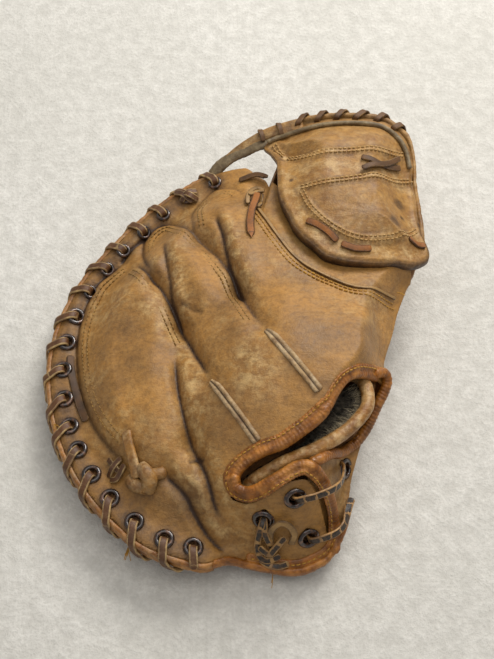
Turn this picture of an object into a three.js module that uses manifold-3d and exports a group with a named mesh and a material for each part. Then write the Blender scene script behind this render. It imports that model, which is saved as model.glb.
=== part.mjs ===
// A worn baseball catcher's mitt, lying palm down with its back up.
// Millimetres, +Z up. +X runs from the little-finger side to the wrist side,
// +Y from the strap tongue to the thumb's laced rim. The floor is z = 0.
import * as THREE from 'three';
import { mergeVertices } from 'three/addons/utils/BufferGeometryUtils.js';
import Module from 'manifold-3d';

const wasm = await Module();
wasm.setup();

// Driving dimensions
const leather = 2.6; // wall of the back, flap and strap leather
const gap = 0.35; // clearance between neighbouring pieces
const steepest = 2; // most that a slope thickens a wall, measured upright
const bodySegments = 52; // steps round the body
const shellInset = 2; // back leather stops this far inside the rim roll
const rimBand = 16; // flat laced band inside the rim
const padInset = 5.6; // the pad's own flange starts here
const padFlange = 5; // thickness of the pad's flange
const padLevel = 24; // top of the pad inside the hand hollow
const pocketDepth = 16; // hollow of the pocket above the floor
const eyeletInset = 9.5;
const eyelet = { bore: 3.3, barrel: 4, hole: 5.2, flange: 5.8, seat: 0.6, rise: 1.8, sides: 7,
  skewUp: 0.12, skewOut: 0.05 };
const holeSides = 6;
const padHole = 3.8; // the lace's hole through the pad's flange
const lace = { width: 4.4, thick: 1.4 };
const slit = { inset: 6, length: 5.8, width: 2.6, depth: 24 };
const openingBindingRadius = 4.1;
const tongueBindingRadius = 3.6;
const wingBindingRadius = 3;
const rollRadius = 3.8;
const pipingRadius = 1.3;
const webStrip = { width: 7, thick: 4 };
const ropeSides = 6;
const high = 160; // clear of the top of the mitt
const low = -20; // clear of the floor

// Outline of the body seen from above, in polar form about the middle of the
// hand: reach to the outside of the rim, height of the rim's top, width of the
// flat laced band, and the run over which the back rises from it.
const outline = [
  { deg: 4, reach: 95.5, rimZ: 42, flange: 0, rise: 24 },
  { deg: 15, reach: 106.5, rimZ: 46, flange: 0, rise: 24 },
  { deg: 20, reach: 119, rimZ: 50, flange: 2, rise: 24 },
  { deg: 29, reach: 128.5, rimZ: 55, flange: 6, rise: 24 },
  { deg: 41, reach: 146, rimZ: 58, flange: 8, rise: 24 },
  { deg: 47, reach: 161, rimZ: 61, flange: 8, rise: 24 },
  { deg: 51.5, reach: 168.5, rimZ: 64, flange: 8, rise: 24 },
  { deg: 56.5, reach: 168, rimZ: 66, flange: 8, rise: 24 },
  { deg: 64, reach: 159, rimZ: 67, flange: 8, rise: 24 },
  { deg: 71.5, reach: 149, rimZ: 65, flange: 8, rise: 24 },
  { deg: 76.5, reach: 139, rimZ: 60, flange: 8, rise: 24 },
  { deg: 80, reach: 109, rimZ: 50, flange: 8, rise: 30 },
  { deg: 84, reach: 113, rimZ: 48, flange: 10, rise: 30 },
  { deg: 89, reach: 121, rimZ: 46, flange: 12, rise: 30 },
  { deg: 97, reach: 121.5, rimZ: 41, flange: 14, rise: 30 },
  { deg: 104, reach: 119.5, rimZ: 37, flange: 14, rise: 30 },
  { deg: 112, reach: 115.7, rimZ: 34, flange: 14, rise: 30 },
  { deg: 121, reach: 112.7, rimZ: 31, flange: 14, rise: 30 },
  { deg: 130, reach: 110, rimZ: 29, flange: 14, rise: 30 },
  { deg: 141, reach: 109, rimZ: 27, flange: 14, rise: 30 },
  { deg: 161, reach: 111.9, rimZ: 24, flange: 14, rise: 28 },
  { deg: 180, reach: 116, rimZ: 23, flange: 14, rise: 28 },
  { deg: 201, reach: 121, rimZ: 24, flange: 14, rise: 28 },
  { deg: 219, reach: 127.9, rimZ: 27, flange: 14, rise: 28 },
  { deg: 237, reach: 136, rimZ: 28, flange: 14, rise: 28 },
  { deg: 251, reach: 142, rimZ: 28, flange: 14, rise: 28 },
  { deg: 261, reach: 142, rimZ: 26, flange: 12, rise: 28 },
  { deg: 268, reach: 135, rimZ: 20, flange: 4, rise: 30 },
  { deg: 274, reach: 137, rimZ: 15, flange: 0, rise: 34 },
  { deg: 284, reach: 143, rimZ: 14, flange: 0, rise: 36 },
  { deg: 289.5, reach: 141.5, rimZ: 15, flange: 0, rise: 36 },
  { deg: 295, reach: 134, rimZ: 20, flange: 0, rise: 34 },
  { deg: 307, reach: 108.5, rimZ: 30, flange: 0, rise: 30 },
  { deg: 317, reach: 98.5, rimZ: 38, flange: 0, rise: 26 },
  { deg: 326, reach: 95, rimZ: 44, flange: 0, rise: 22 },
  { deg: 335, reach: 93, rimZ: 50, flange: 0, rise: 20 },
  { deg: 345, reach: 89.5, rimZ: 46, flange: 0, rise: 20 },
];

// Heights of the back over the hand, blended into one another.
const crownReach = 24;
const crown = [
  { x: -88, y: 0, z: 38 }, { x: -70, y: -15, z: 47 }, { x: -60, y: -60, z: 47 },
  { x: -62, y: -96, z: 38 }, { x: -25, y: -108, z: 44 }, { x: -20, y: -70, z: 58 },
  { x: -35, y: 10, z: 60 }, { x: -52, y: 55, z: 47 }, { x: -15, y: 85, z: 56 },
  { x: 12, y: 40, z: 69 }, { x: 50, y: 14, z: 71 }, { x: 85, y: 18, z: 60 },
  { x: 42, y: -28, z: 83 }, { x: 2, y: -45, z: 76 }, { x: 24, y: -68, z: 84 },
  { x: 52, y: -44, z: 86 }, { x: 74, y: -24, z: 78 }, { x: 12, y: -104, z: 57 },
  { x: 36, y: -96, z: 62 }, { x: 60, y: 60, z: 56 }, { x: 60, y: 100, z: 60 },
];

// Folds in the back: from one end to the other, how deep and how wide.
// A negative depth is a crease and a positive one a ridge.
const folds = [
  { x1: -52, y1: 30, x2: -36, y2: -5, depth: -6, width: 7 },
  { x1: -36, y1: -5, x2: -19, y2: -44, depth: -6, width: 8 },
  { x1: -24, y1: 58, x2: -3, y2: 16, depth: -5, width: 7 },
  { x1: -3, y1: 16, x2: 12, y2: -16, depth: -4, width: 7 },
  { x1: -38, y1: -22, x2: -28, y2: -78, depth: -4, width: 8 },
  { x1: -28, y1: -78, x2: -12, y2: -112, depth: -5, width: 8 },
  { x1: -42, y1: -92, x2: -20, y2: -122, depth: -6, width: 8 },
  { x1: -74, y1: 56, x2: -58, y2: 76, depth: -3, width: 7 },
  { x1: -56, y1: -20, x2: -48, y2: -76, depth: 3, width: 14 },
  { x1: -40, y1: 56, x2: -22, y2: 14, depth: 3, width: 8 },
  { x1: -12, y1: 76, x2: 6, y2: 24, depth: 3, width: 9 },
];

// Thumb flap seen from above, in polar form about its own middle: reach, height
// of the top edge, and thickness of the edge.
const flapCentre = { x: 70, y: 90 };
const flapSegments = 32;
const flapCrown = 79;
const flapRise = 26;
const flapPadding = 7;
const flapOutline = [
  { deg: 9, reach: 38.5, z: 58, thick: 2.6 },
  { deg: 35, reach: 47, z: 61, thick: 2.6 },
  { deg: 49.6, reach: 52.5, z: 64, thick: 2.6 },
  { deg: 65.8, reach: 53.7, z: 66, thick: 2.6 },
  { deg: 90, reach: 51, z: 67, thick: 2.6 },
  { deg: 113.7, reach: 54.6, z: 65, thick: 2.6 },
  { deg: 130.4, reach: 61.7, z: 60, thick: 2.6 },
  { deg: 138, reach: 67.3, z: 57, thick: 2.6 },
  { deg: 145.8, reach: 66.5, z: 57, thick: 3 },
  { deg: 149.5, reach: 59.2, z: 61, thick: 4 },
  { deg: 159, reach: 50.3, z: 66, thick: 5 },
  { deg: 178.8, reach: 47, z: 69, thick: 7 },
  { deg: 209.7, reach: 48.4, z: 72, thick: 7 },
  { deg: 225, reach: 52.3, z: 73, thick: 7 },
  { deg: 241.1, reach: 55.9, z: 73.5, thick: 7 },
  { deg: 252.5, reach: 59.8, z: 73, thick: 7 },
  { deg: 271.9, reach: 60, z: 71, thick: 7 },
  { deg: 291.5, reach: 61.3, z: 66, thick: 7 },
  { deg: 305, reach: 65, z: 59, thick: 6 },
  { deg: 312, reach: 65, z: 56, thick: 5 },
  { deg: 325.7, reach: 49.6, z: 56, thick: 2.6 },
  { deg: 343.1, reach: 41.3, z: 57, thick: 2.6 },
];

// Grids that the leather sheets are laid out on: how far out each ring lies.
const backRings = [
  { share: 1, inset: shellInset }, { share: 1, inset: rimBand }, { share: 0.88, inset: rimBand },
  { share: 0.74, inset: rimBand }, { share: 0.58, inset: rimBand }, { share: 0.4, inset: rimBand },
  { share: 0.2, inset: rimBand },
];
const flapRings = [1, 0.85, 0.62, 0.32].map((share) => ({ share, inset: 0 }));
const backGrid = { centre: { x: 0, y: 0 }, rows: outline, rings: backRings, count: bodySegments };
const flapGrid = { centre: flapCentre, rows: flapOutline, rings: flapRings, count: flapSegments };

// Angles of the laced holes round the finger rim and the thumb rim.
const rimHoles = [98.5, 108.5, 118.5, 128, 138.4, 147.4, 157.9, 168.6, 178.8,
  189, 199.4, 209, 217.2, 225.7, 234.2, 243, 251.6, 258.8];
const thumbHoles = [75, 70.8, 66.6, 62.4, 58.2, 54.4, 50.8];

// Stations of one lace turn: share of the way to the next hole, distance in
// from the outside of the rim, and height above the rim's top.
const rimTurn = [
  { along: 0, inset: 9.5, up: -6 },
  { along: 0, inset: 9.5, up: 1.2 },
  { along: 0.14, inset: 5.4, up: 3.8 },
  { along: 0.34, inset: -2, up: -0.4 },
  { along: 0.44, inset: -2.4, up: -7 },
  { along: 0.62, inset: -1, up: -12.2 },
  { along: 0.92, inset: 8.2, up: -13.4 },
];
const thumbTurn = [
  { along: 0, inset: 6, up: -6 },
  { along: 0, inset: 6, up: 0.8 },
  { along: 0.1, inset: 3.4, up: 2 },
  { along: 0.3, inset: -1.8, up: 0 },
  { along: 0.45, inset: -2.2, up: -7 },
  { along: 0.65, inset: -1, up: -12.2 },
  { along: 0.93, inset: 5.4, up: -13 },
];

// Routes seen from above, from one end to the other.
const openingRoute = [
  { x: -5, y: -103.5 }, { x: -3, y: -97.5 }, { x: 4, y: -92 }, { x: 13, y: -87 }, { x: 21, y: -83 },
  { x: 30, y: -78 }, { x: 39, y: -72 }, { x: 46, y: -66 }, { x: 50.5, y: -58 }, { x: 56, y: -50.5 },
  { x: 63, y: -45 }, { x: 71, y: -41 }, { x: 78, y: -40 },
];
const openingCorner = [{ x: 84, y: -42, z: 52 }, { x: 82, y: -48, z: 48 }];
const tongueRoute = [
  { x: -5, y: -109.5 }, { x: 4, y: -112.5 }, { x: 13, y: -111 }, { x: 21, y: -107.5 },
  { x: 30, y: -105 }, { x: 37, y: -104.5 }, { x: 42, y: -108 }, { x: 46, y: -114 }, { x: 49, y: -121 },
];
const rollRoute = [
  { x: 6, y: -100, z: 53 }, { x: 14, y: -98, z: 56 }, { x: 21.5, y: -94.5, z: 58 },
  { x: 30.5, y: -89.5, z: 60 }, { x: 39, y: -85, z: 60 }, { x: 48, y: -81.4, z: 60 },
  { x: 57, y: -75.4, z: 60 }, { x: 65, y: -67, z: 59.5 }, { x: 69.5, y: -59.5, z: 59 },
  { x: 71, y: -52, z: 58.5 },
];
const wingRoute = [
  { x: 42, y: -95 }, { x: 56, y: -85 }, { x: 66, y: -73 }, { x: 71.5, y: -63 }, { x: 76, y: -55 },
];
const backWelts = [
  [{ x: 15, y: -20 }, { x: 24, y: -33 }, { x: 34, y: -47 }, { x: 42, y: -58 }],
  [{ x: -16, y: -46 }, { x: -8, y: -58 }, { x: 1, y: -71 }, { x: 9, y: -82 }],
];
const seamRoute = [
  { x: 9, y: 80 }, { x: 15, y: 68 }, { x: 24, y: 50 }, { x: 35, y: 33.5 }, { x: 52, y: 21 },
  { x: 70, y: 14 }, { x: 92, y: 18 },
];
const pipingRoute = [
  { x: 22, y: 127.5 }, { x: 34, y: 127.5 }, { x: 46, y: 129 }, { x: 70, y: 130.5 }, { x: 85, y: 129 },
  { x: 95, y: 123 }, { x: 101, y: 113 },
];
const thumbLaces = [
  [{ x: 39, y: 54 }, { x: 46, y: 49 }, { x: 52, y: 44.5 }, { x: 57, y: 38 }],
  [{ x: 60, y: 37 }, { x: 68, y: 35 }, { x: 76, y: 35.5 }],
  [{ x: 98, y: 44 }, { x: 109, y: 47 }],
];
const crossLaces = [
  [{ x: 74, y: 100 }, { x: 98, y: 95 }],
  [{ x: 74, y: 91 }, { x: 97, y: 103 }],
];
const webRoute = [
  { x: -17.5, y: 121.2, z: 37.5 }, { x: -20, y: 128, z: 41 }, { x: -15, y: 134.5, z: 43.5 },
  { x: -6, y: 136.5, z: 46.5 }, { x: 3, y: 135.5, z: 49.5 }, { x: 12, y: 133.5, z: 51.6 },
  { x: 19, y: 131.5, z: 52 },
];
const tipLaceRoute = [{ x: 1, y: 108, lift: 0.1 }, { x: 10, y: 109, lift: 1.8 }, { x: 18, y: 104, lift: 3.4 }];
const tailRoute = [
  { x: 10, y: 88, lift: 3.4 }, { x: 7.5, y: 74, lift: 2.4 }, { x: 6.5, y: 62, lift: 0.9 },
  { x: 7, y: 52, lift: 0.1 },
];
const upperStrapRoute = [
  { x: 30, y: -112.5, lift: -2 }, { x: 30, y: -112.5, lift: 2.6 }, { x: 35, y: -110.5, lift: 5 },
  { x: 42, y: -107, lift: 6.4 }, { x: 49, y: -101, lift: 5 }, { x: 55, y: -95, lift: 2 },
  { x: 58, y: -91.5, lift: -0.6 },
];
const lowerStrapRoute = [
  { x: 37, y: -125, lift: -2 }, { x: 37, y: -125, lift: 2.6 }, { x: 41, y: -123, lift: 5 },
  { x: 47, y: -120, lift: 6.4 }, { x: 53, y: -116.5, lift: 4.4 }, { x: 57, y: -112, lift: 1.2 },
  { x: 60.5, y: -106, lift: 0.4 },
];
const knotLoop = [
  { x: 12, y: -119, lift: -2 }, { x: 12, y: -119, lift: 3.6 }, { x: 10.5, y: -124, lift: 5 },
  { x: 12, y: -129, lift: 5 }, { x: 17, y: -131, lift: 5 }, { x: 22, y: -128, lift: 5 },
  { x: 26, y: -123, lift: 4 }, { x: 24, y: -117.5, lift: 4 }, { x: 19, y: -116, lift: 5 },
];
const knotTail = [
  { x: 9, y: -126, lift: 6 }, { x: 15, y: -124, lift: 6 }, { x: 20, y: -120.5, lift: 6 },
];
const cornerKnot = [
  { x: -66, y: -72, lift: 1 }, { x: -61, y: -81, lift: 1.4 }, { x: -57, y: -92, lift: 2.6 },
  { x: -50, y: -95.5, lift: 3.4 }, { x: -43.5, y: -92.5, lift: 3 }, { x: -45, y: -87.5, lift: 2.4 },
];
const cornerWrap = [
  { x: -56, y: -87, lift: 2 }, { x: -52, y: -92, lift: 4.2 }, { x: -50, y: -99, lift: 2.4 },
];

// Where the eyelets of the strap sit: three on the tongue, one on the wing.
const wingEyelet = { name: 'strap_eyelet_1', x: 58.5, y: -90.5 };
const tongueEyelets = [
  { name: 'strap_eyelet_2', x: 30, y: -112.5 },
  { name: 'strap_eyelet_3', x: 37, y: -125 },
  { name: 'strap_eyelet_4', x: 12, y: -119 },
];

// Welts round the rim: how far in from its outside, and heights against its top.
const rimWelt = { inner: 5, outer: 0, top: -leather - 2 * gap, bottom: -11 };
const strapEdge = { inner: shellInset - gap, outer: -1.2, top: 0.8, bottom: -5 };

const weltSize = { width: 5, thick: 2 };
const seamSize = { width: 3, thick: 1.6 };
const seatLift = 0.15; // strips lie this far off the leather before it is relieved
const seamLift = 0.8; // pieces on the rounded flap, clear of its facets
const crossLift = 1.5;

// What the mouth and the thumb side take away from the back leather.
const mouthCut = [...openingRoute, { x: 100, y: -41 }, { x: 100, y: -150 }, { x: 52, y: -150 },
  { x: 51, y: -128 }, ...[...tongueRoute].reverse()];
const thumbCut = [
  { x: -13, y: high }, { x: -9, y: 124 }, { x: 3, y: 123 }, { x: 14, y: 112 }, { x: 18, y: 100 },
  { x: 34, y: 84 }, { x: 46, y: 64 }, { x: 62, y: 52 }, { x: 90, y: 48 }, { x: 130, y: 50 },
  { x: 130, y: high },
];
const wingArea = [{ x: 37, y: -98 }, ...wingRoute, { x: 100, y: -53 }, { x: 90, y: -150 },
  { x: 45, y: -150 }, { x: 42, y: -125 }, { x: 38, y: -112 }];

// Colours as the leather shows them, worn and dusty.
const finish = (color, roughness, metalness) => (
  new THREE.MeshStandardMaterial({ color, roughness, metalness }));
const bodyTan = finish(0x9a6a3c, 0.62, 0);
const thumbTan = finish(0xb38a58, 0.68, 0);
const padTan = finish(0x8f6238, 0.65, 0);
const bindingOrange = finish(0xa0561f, 0.55, 0);
const rollTan = finish(0xb08a60, 0.72, 0);
const laceBrown = finish(0x6e4424, 0.6, 0);
const laceOrange = finish(0xa5562a, 0.55, 0);
const laceBlack = finish(0x2a2420, 0.6, 0);
const eyeletBrown = finish(0x33201c, 0.3, 0.9);
const pipingOlive = finish(0x77694f, 0.7, 0);
const fleeceGrey = finish(0x6d675c, 0.95, 0);

const mitt = new THREE.Group();

function addPiece(name, geometry, material) {
  const mesh = new THREE.Mesh(geometry, material);
  mesh.name = name;
  mitt.add(mesh);
}

function radians(deg) {
  return deg * Math.PI / 180;
}

function smoothStep(t) {
  const c = Math.min(1, Math.max(0, t));
  return c * c * (3 - 2 * c);
}

// Reads one column of a polar table at any angle, smoothly and round the seam.
function tableAt(rows, key, deg) {
  const n = rows.length;
  const row = (i) => rows[((i % n) + n) % n];
  const angle = (i) => row(i).deg + 360 * Math.floor(i / n);
  let a = deg;
  while (a < rows[0].deg) a += 360;
  while (a >= rows[0].deg + 360) a -= 360;
  let i = 0;
  while (i < n - 1 && a >= rows[i + 1].deg) i += 1;
  const slope = (k) => {
    const left = (row(k)[key] - row(k - 1)[key]) / (angle(k) - angle(k - 1));
    const right = (row(k + 1)[key] - row(k)[key]) / (angle(k + 1) - angle(k));
    return left * right <= 0 ? 0 : (2 * left * right) / (left + right);
  };
  const span = angle(i + 1) - angle(i);
  const t = (a - angle(i)) / span;
  const step = row(i + 1)[key] - row(i)[key];
  const start = slope(i) * span;
  const end = slope(i + 1) * span;
  return row(i)[key] + t * (start + t * (3 * step - 2 * start - end + t * (start + end - 2 * step)));
}

function crownHeight(x, y) {
  let sum = 0;
  let weight = 0;
  for (const p of crown) {
    const w = Math.exp(-((x - p.x) ** 2 + (y - p.y) ** 2) / (2 * crownReach ** 2)) + 1e-6;
    sum += w * p.z;
    weight += w;
  }
  return sum / weight;
}

function foldHeight(x, y) {
  let height = 0;
  for (const f of folds) {
    const dx = f.x2 - f.x1;
    const dy = f.y2 - f.y1;
    const t = Math.min(1, Math.max(0, ((x - f.x1) * dx + (y - f.y1) * dy) / (dx * dx + dy * dy)));
    const off = Math.hypot(x - f.x1 - t * dx, y - f.y1 - t * dy) / f.width;
    height += f.depth * Math.exp(-off * off);
  }
  return height;
}

// Top of the back leather, laid on over the whole outline.
function backHeight(x, y) {
  const deg = Math.atan2(y, x) * 180 / Math.PI;
  const inset = tableAt(outline, 'reach', deg) - Math.hypot(x, y);
  const rim = tableAt(outline, 'rimZ', deg);
  const rise = (inset - tableAt(outline, 'flange', deg)) / tableAt(outline, 'rise', deg);
  return rim + (crownHeight(x, y) + foldHeight(x, y) - rim) * smoothStep(rise);
}

function flapHeight(x, y) {
  const dx = x - flapCentre.x;
  const dy = y - flapCentre.y;
  const deg = Math.atan2(dy, dx) * 180 / Math.PI;
  const inset = tableAt(flapOutline, 'reach', deg) - Math.hypot(dx, dy);
  const edge = tableAt(flapOutline, 'z', deg);
  return edge + (flapCrown - edge) * smoothStep((inset - 3) / flapRise);
}

function gridPoint(grid, ring, j, height) {
  const deg = 360 * j / grid.count;
  const r = ring.share * (tableAt(grid.rows, 'reach', deg) - ring.inset);
  const x = grid.centre.x + r * Math.cos(radians(deg));
  const y = grid.centre.y + r * Math.sin(radians(deg));
  return new THREE.Vector3(x, y, height(x, y, deg, ring.share));
}

function gridLoop(grid, ring, height) {
  return Array.from({ length: grid.count }, (_, j) => gridPoint(grid, ring, j, height));
}

// Height of the flat facet under a point, where a height is laid on a grid.
function facetAt(grid, height, x, y) {
  const deg = (Math.atan2(y - grid.centre.y, x - grid.centre.x) * 180 / Math.PI + 360) % 360;
  const j = Math.floor(deg * grid.count / 360);
  for (let i = 0; i + 1 < grid.rings.length; i += 1) {
    const [outer, inner] = [grid.rings[i], grid.rings[i + 1]];
    const a = gridPoint(grid, inner, j, height);
    const b = gridPoint(grid, outer, j + 1, height);
    for (const c of [gridPoint(grid, inner, j + 1, height), gridPoint(grid, outer, j, height)]) {
      const area = (b.x - a.x) * (c.y - a.y) - (c.x - a.x) * (b.y - a.y);
      const v = ((x - a.x) * (c.y - a.y) - (c.x - a.x) * (y - a.y)) / area;
      const w = ((b.x - a.x) * (y - a.y) - (x - a.x) * (b.y - a.y)) / area;
      if (v >= -1e-6 && w >= -1e-6 && v + w <= 1 + 1e-6) return a.z + v * (b.z - a.z) + w * (c.z - a.z);
    }
  }
  return height(x, y);
}

function normalOf(height, x, y) {
  const d = 1.5;
  const dx = (height(x + d, y) - height(x - d, y)) / (2 * d);
  const dy = (height(x, y + d) - height(x, y - d)) / (2 * d);
  return new THREE.Vector3(-dx, -dy, 1).normalize();
}

// How thick a wall is when it is measured straight down through a slope.
function upright(height, x, y, wall) {
  return wall * Math.min(steepest, 1 / normalOf(height, x, y).z);
}

const underBack = (x, y) => backHeight(x, y) - upright(backHeight, x, y, leather);
const wingTop = (x, y) => backHeight(x, y) - upright(backHeight, x, y, leather + 2 * gap);
const underWing = (x, y) => wingTop(x, y) - upright(backHeight, x, y, leather - 0.4);
const onBack = (x, y) => facetAt(backGrid, backHeight, x, y);
const onWing = (x, y) => facetAt(backGrid, wingTop, x, y);
const onFlap = (x, y) => facetAt(flapGrid, flapHeight, x, y);

function underFlap(x, y, deg, share) {
  const edge = tableAt(flapOutline, 'thick', deg);
  return flapHeight(x, y) - edge - (flapPadding - edge) * smoothStep((1 - share) * 3);
}

function rimPoint(deg, inset, up) {
  const r = tableAt(outline, 'reach', deg) - inset;
  const z = tableAt(outline, 'rimZ', deg) + up;
  return new THREE.Vector3(r * Math.cos(radians(deg)), r * Math.sin(radians(deg)), z);
}

// Skins a row of loops into one closed solid. Fans close the two ends.
function loft(loops) {
  const m = loops[0].length;
  const points = loops.flat();
  const faces = [];
  for (let i = 0; i + 1 < loops.length; i += 1) {
    for (let j = 0; j < m; j += 1) {
      const k = (j + 1) % m;
      const a = i * m;
      const b = a + m;
      faces.push([a + j, a + k, b + k], [a + j, b + k, b + j]);
    }
  }
  for (const [start, flip] of [[0, true], [(loops.length - 1) * m, false]]) {
    const middle = new THREE.Vector3();
    for (let j = 0; j < m; j += 1) middle.add(points[start + j]);
    points.push(middle.divideScalar(m));
    for (let j = 0; j < m; j += 1) {
      const a = start + j;
      const b = start + (j + 1) % m;
      faces.push(flip ? [points.length - 1, b, a] : [points.length - 1, a, b]);
    }
  }
  let volume = 0;
  const cross = new THREE.Vector3();
  for (const [a, b, c] of faces) volume += points[a].dot(cross.crossVectors(points[b], points[c]));
  const geometry = new THREE.BufferGeometry().setFromPoints(points);
  geometry.setIndex(faces.flatMap(([a, b, c]) => (volume > 0 ? [a, b, c] : [a, c, b])));
  geometry.computeVertexNormals();
  return geometry;
}

// A sheet of leather laid over a grid, between two height functions.
function sheet(grid, top, bottom) {
  const tops = grid.rings.map((ring) => gridLoop(grid, ring, top));
  const bottoms = grid.rings.map((ring) => gridLoop(grid, ring, bottom));
  return loft([...tops.reverse(), ...bottoms]);
}

function tangentAt(path, i) {
  return path[Math.min(path.length - 1, i + 1)].clone().sub(path[Math.max(0, i - 1)]).normalize();
}

// A flat strip along a path. The side vectors give the way its width runs.
function ribbon(path, sides, width, thick) {
  return loft(path.map((p, i) => {
    const tangent = tangentAt(path, i);
    const side = sides[i].clone().addScaledVector(tangent, -sides[i].dot(tangent)).normalize();
    const up = new THREE.Vector3().crossVectors(side, tangent).normalize();
    return [[-1, -1], [1, -1], [1, 1], [-1, 1]].map(([s, u]) => p.clone()
      .addScaledVector(side, s * width / 2).addScaledVector(up, u * thick / 2));
  }));
}

// A strip that lies on a surface, lifted off it by each point's own lift.
function layStrip(route, surface, width, thick, lift = 0) {
  const path = route.map((p) => new THREE.Vector3(p.x, p.y, surface(p.x, p.y))
    .addScaledVector(normalOf(surface, p.x, p.y), (p.lift ?? 0) + lift + thick / 2));
  const sides = path.map((_, i) => tangentAt(path, i).cross(normalOf(surface, route[i].x, route[i].y)));
  for (let i = 1; i < sides.length; i += 1) if (sides[i].length() < 0.3) sides[i] = sides[i - 1].clone();
  if (sides[0].length() < 0.3) sides[0] = sides.find((s) => s.length() >= 0.3).clone();
  return ribbon(path, sides, width, thick);
}

function polygon(sides, radius) {
  return new THREE.Shape(Array.from({ length: sides }, (_, i) => {
    const a = 2 * Math.PI * (i + 0.5) / sides;
    return new THREE.Vector2(radius * Math.cos(a), radius * Math.sin(a));
  }));
}

function rope(points, radius, steps, sides = ropeSides) {
  const extrudePath = new THREE.CatmullRomCurve3(points, false, 'centripetal');
  return new THREE.ExtrudeGeometry(polygon(sides, radius), { steps, extrudePath });
}

// Spreads a few hand-placed route points out along one smooth curve.
function spread(route, count) {
  const points = route.map((p) => new THREE.Vector3(p.x, p.y, p.z ?? 0));
  return new THREE.CatmullRomCurve3(points, false, 'centripetal').getSpacedPoints(count);
}

function onSurface(route, surface, lift, count) {
  return spread(route, count).map((p) => new THREE.Vector3(p.x, p.y, surface(p.x, p.y))
    .addScaledVector(normalOf(surface, p.x, p.y), lift));
}

function solidOf(geometry) {
  const bare = geometry.clone();
  bare.deleteAttribute('normal');
  bare.deleteAttribute('uv');
  const merged = mergeVertices(bare, 1e-4);
  return new wasm.Manifold(new wasm.Mesh({
    numProp: 3,
    vertProperties: new Float32Array(merged.attributes.position.array),
    triVerts: new Uint32Array(merged.index.array),
  }));
}

// Keeps the main body only, without the crumbs that a cut leaves behind.
function geometryOf(solid) {
  const [main] = solid.decompose().sort((a, b) => b.volume() - a.volume());
  const mesh = main.getMesh();
  const geometry = new THREE.BufferGeometry();
  geometry.setAttribute('position', new THREE.BufferAttribute(new Float32Array(mesh.vertProperties), 3));
  geometry.setIndex(new THREE.BufferAttribute(new Uint32Array(mesh.triVerts), 1));
  geometry.computeVertexNormals();
  return geometry;
}

function cutAway(geometry, cutters) {
  return geometryOf(cutters.reduce((solid, cutter) => solid.subtract(solidOf(cutter)), solidOf(geometry)));
}

function joinUp(geometries) {
  return geometryOf(geometries.map(solidOf).reduce((joined, solid) => joined.add(solid)));
}

function prism(corners) {
  const shape = new THREE.Shape(corners.map((c) => new THREE.Vector2(c.x, c.y)));
  return new THREE.ExtrudeGeometry(shape, { depth: high - low, bevelEnabled: false }).translate(0, 0, low);
}

function turnTo(normal) {
  return new THREE.Quaternion().setFromUnitVectors(new THREE.Vector3(0, 1, 0), normal);
}

// A post along a normal, used to drill the laced holes.
function post(p, normal, radius, length) {
  return new THREE.CylinderGeometry(radius, radius, length, holeSides).applyQuaternion(turnTo(normal))
    .translate(p.x, p.y, p.z);
}

function slitCutter(deg) {
  const p = rimPoint(deg, slit.inset, -4);
  const side = rimSide(deg);
  return new THREE.BoxGeometry(slit.length, slit.width, slit.depth)
    .rotateZ(Math.atan2(side.y, side.x)).translate(p.x, p.y, p.z);
}

function rimSide(deg) {
  return rimPoint(deg - 1, 0, 0).sub(rimPoint(deg + 1, 0, 0)).normalize();
}

// One lace from the first hole to the last, winding over the rim.
function windLace(holes, turn, extra = 0) {
  const path = [];
  const sides = [];
  holes.forEach((deg, i) => {
    const last = i + 1 === holes.length;
    const next = last ? 2 * deg - holes[i - 1] : holes[i + 1];
    for (const s of last ? turn.slice(0, 4) : turn) {
      const at = deg + (next - deg) * s.along;
      path.push(rimPoint(at, s.inset, s.up));
      sides.push(rimSide(at));
    }
  });
  return ribbon(path, sides, lace.width + extra, lace.thick + extra);
}

// Turns the higher and wider rings of a pressed ring a little further round.
function skew(ring) {
  const position = ring.attributes.position;
  for (let i = 0; i < position.count; i += 1) {
    const [x, y, z] = [position.getX(i), position.getY(i), position.getZ(i)];
    const turn = eyelet.skewUp * y + eyelet.skewOut * Math.hypot(x, z);
    position.setX(i, x * Math.cos(turn) + z * Math.sin(turn));
    position.setZ(i, z * Math.cos(turn) - x * Math.sin(turn));
  }
  return ring;
}

function addEyelet(name, surface, x, y) {
  const e = eyelet;
  const profile = [[e.bore, -leather], [e.barrel, e.seat - 0.1], [e.flange, e.seat + 0.2],
    [e.barrel + 0.6, e.rise], [e.bore, -leather]].map(([r, z]) => new THREE.Vector2(r, z));
  const ring = skew(new THREE.LatheGeometry(profile, e.sides))
    .applyQuaternion(turnTo(normalOf(surface, x, y))).translate(x, y, surface(x, y));
  addPiece(name, geometryOf(solidOf(ring)), eyeletBrown);
}

// Rolled bindings on the cut edges of the mouth, the tongue and the wing.
const openingPath = onSurface(openingRoute, onBack, -leather / 2, 16)
  .concat(openingCorner.map((p) => new THREE.Vector3(p.x, p.y, p.z)));
const tonguePath = onSurface(tongueRoute, onBack, tongueBindingRadius - leather, 12);
const wingPath = onSurface(wingRoute, onWing, -1, 8);
const rollPath = spread(rollRoute, 12);
const openingBinding = (extra) => rope(openingPath, openingBindingRadius + extra, 18);
const tongueBinding = (extra) => rope(tonguePath, tongueBindingRadius + extra, 12);
const wingBinding = (extra) => rope(wingPath, wingBindingRadius + extra, 8);
const seamSteps = 9;
const weltSteps = 3;
const seatedStrip = (route, size, count, extra = 0) => layStrip(spread(route, count), onBack,
  size.width + 2 * extra, size.thick + 2 * extra, seatLift - extra);

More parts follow.
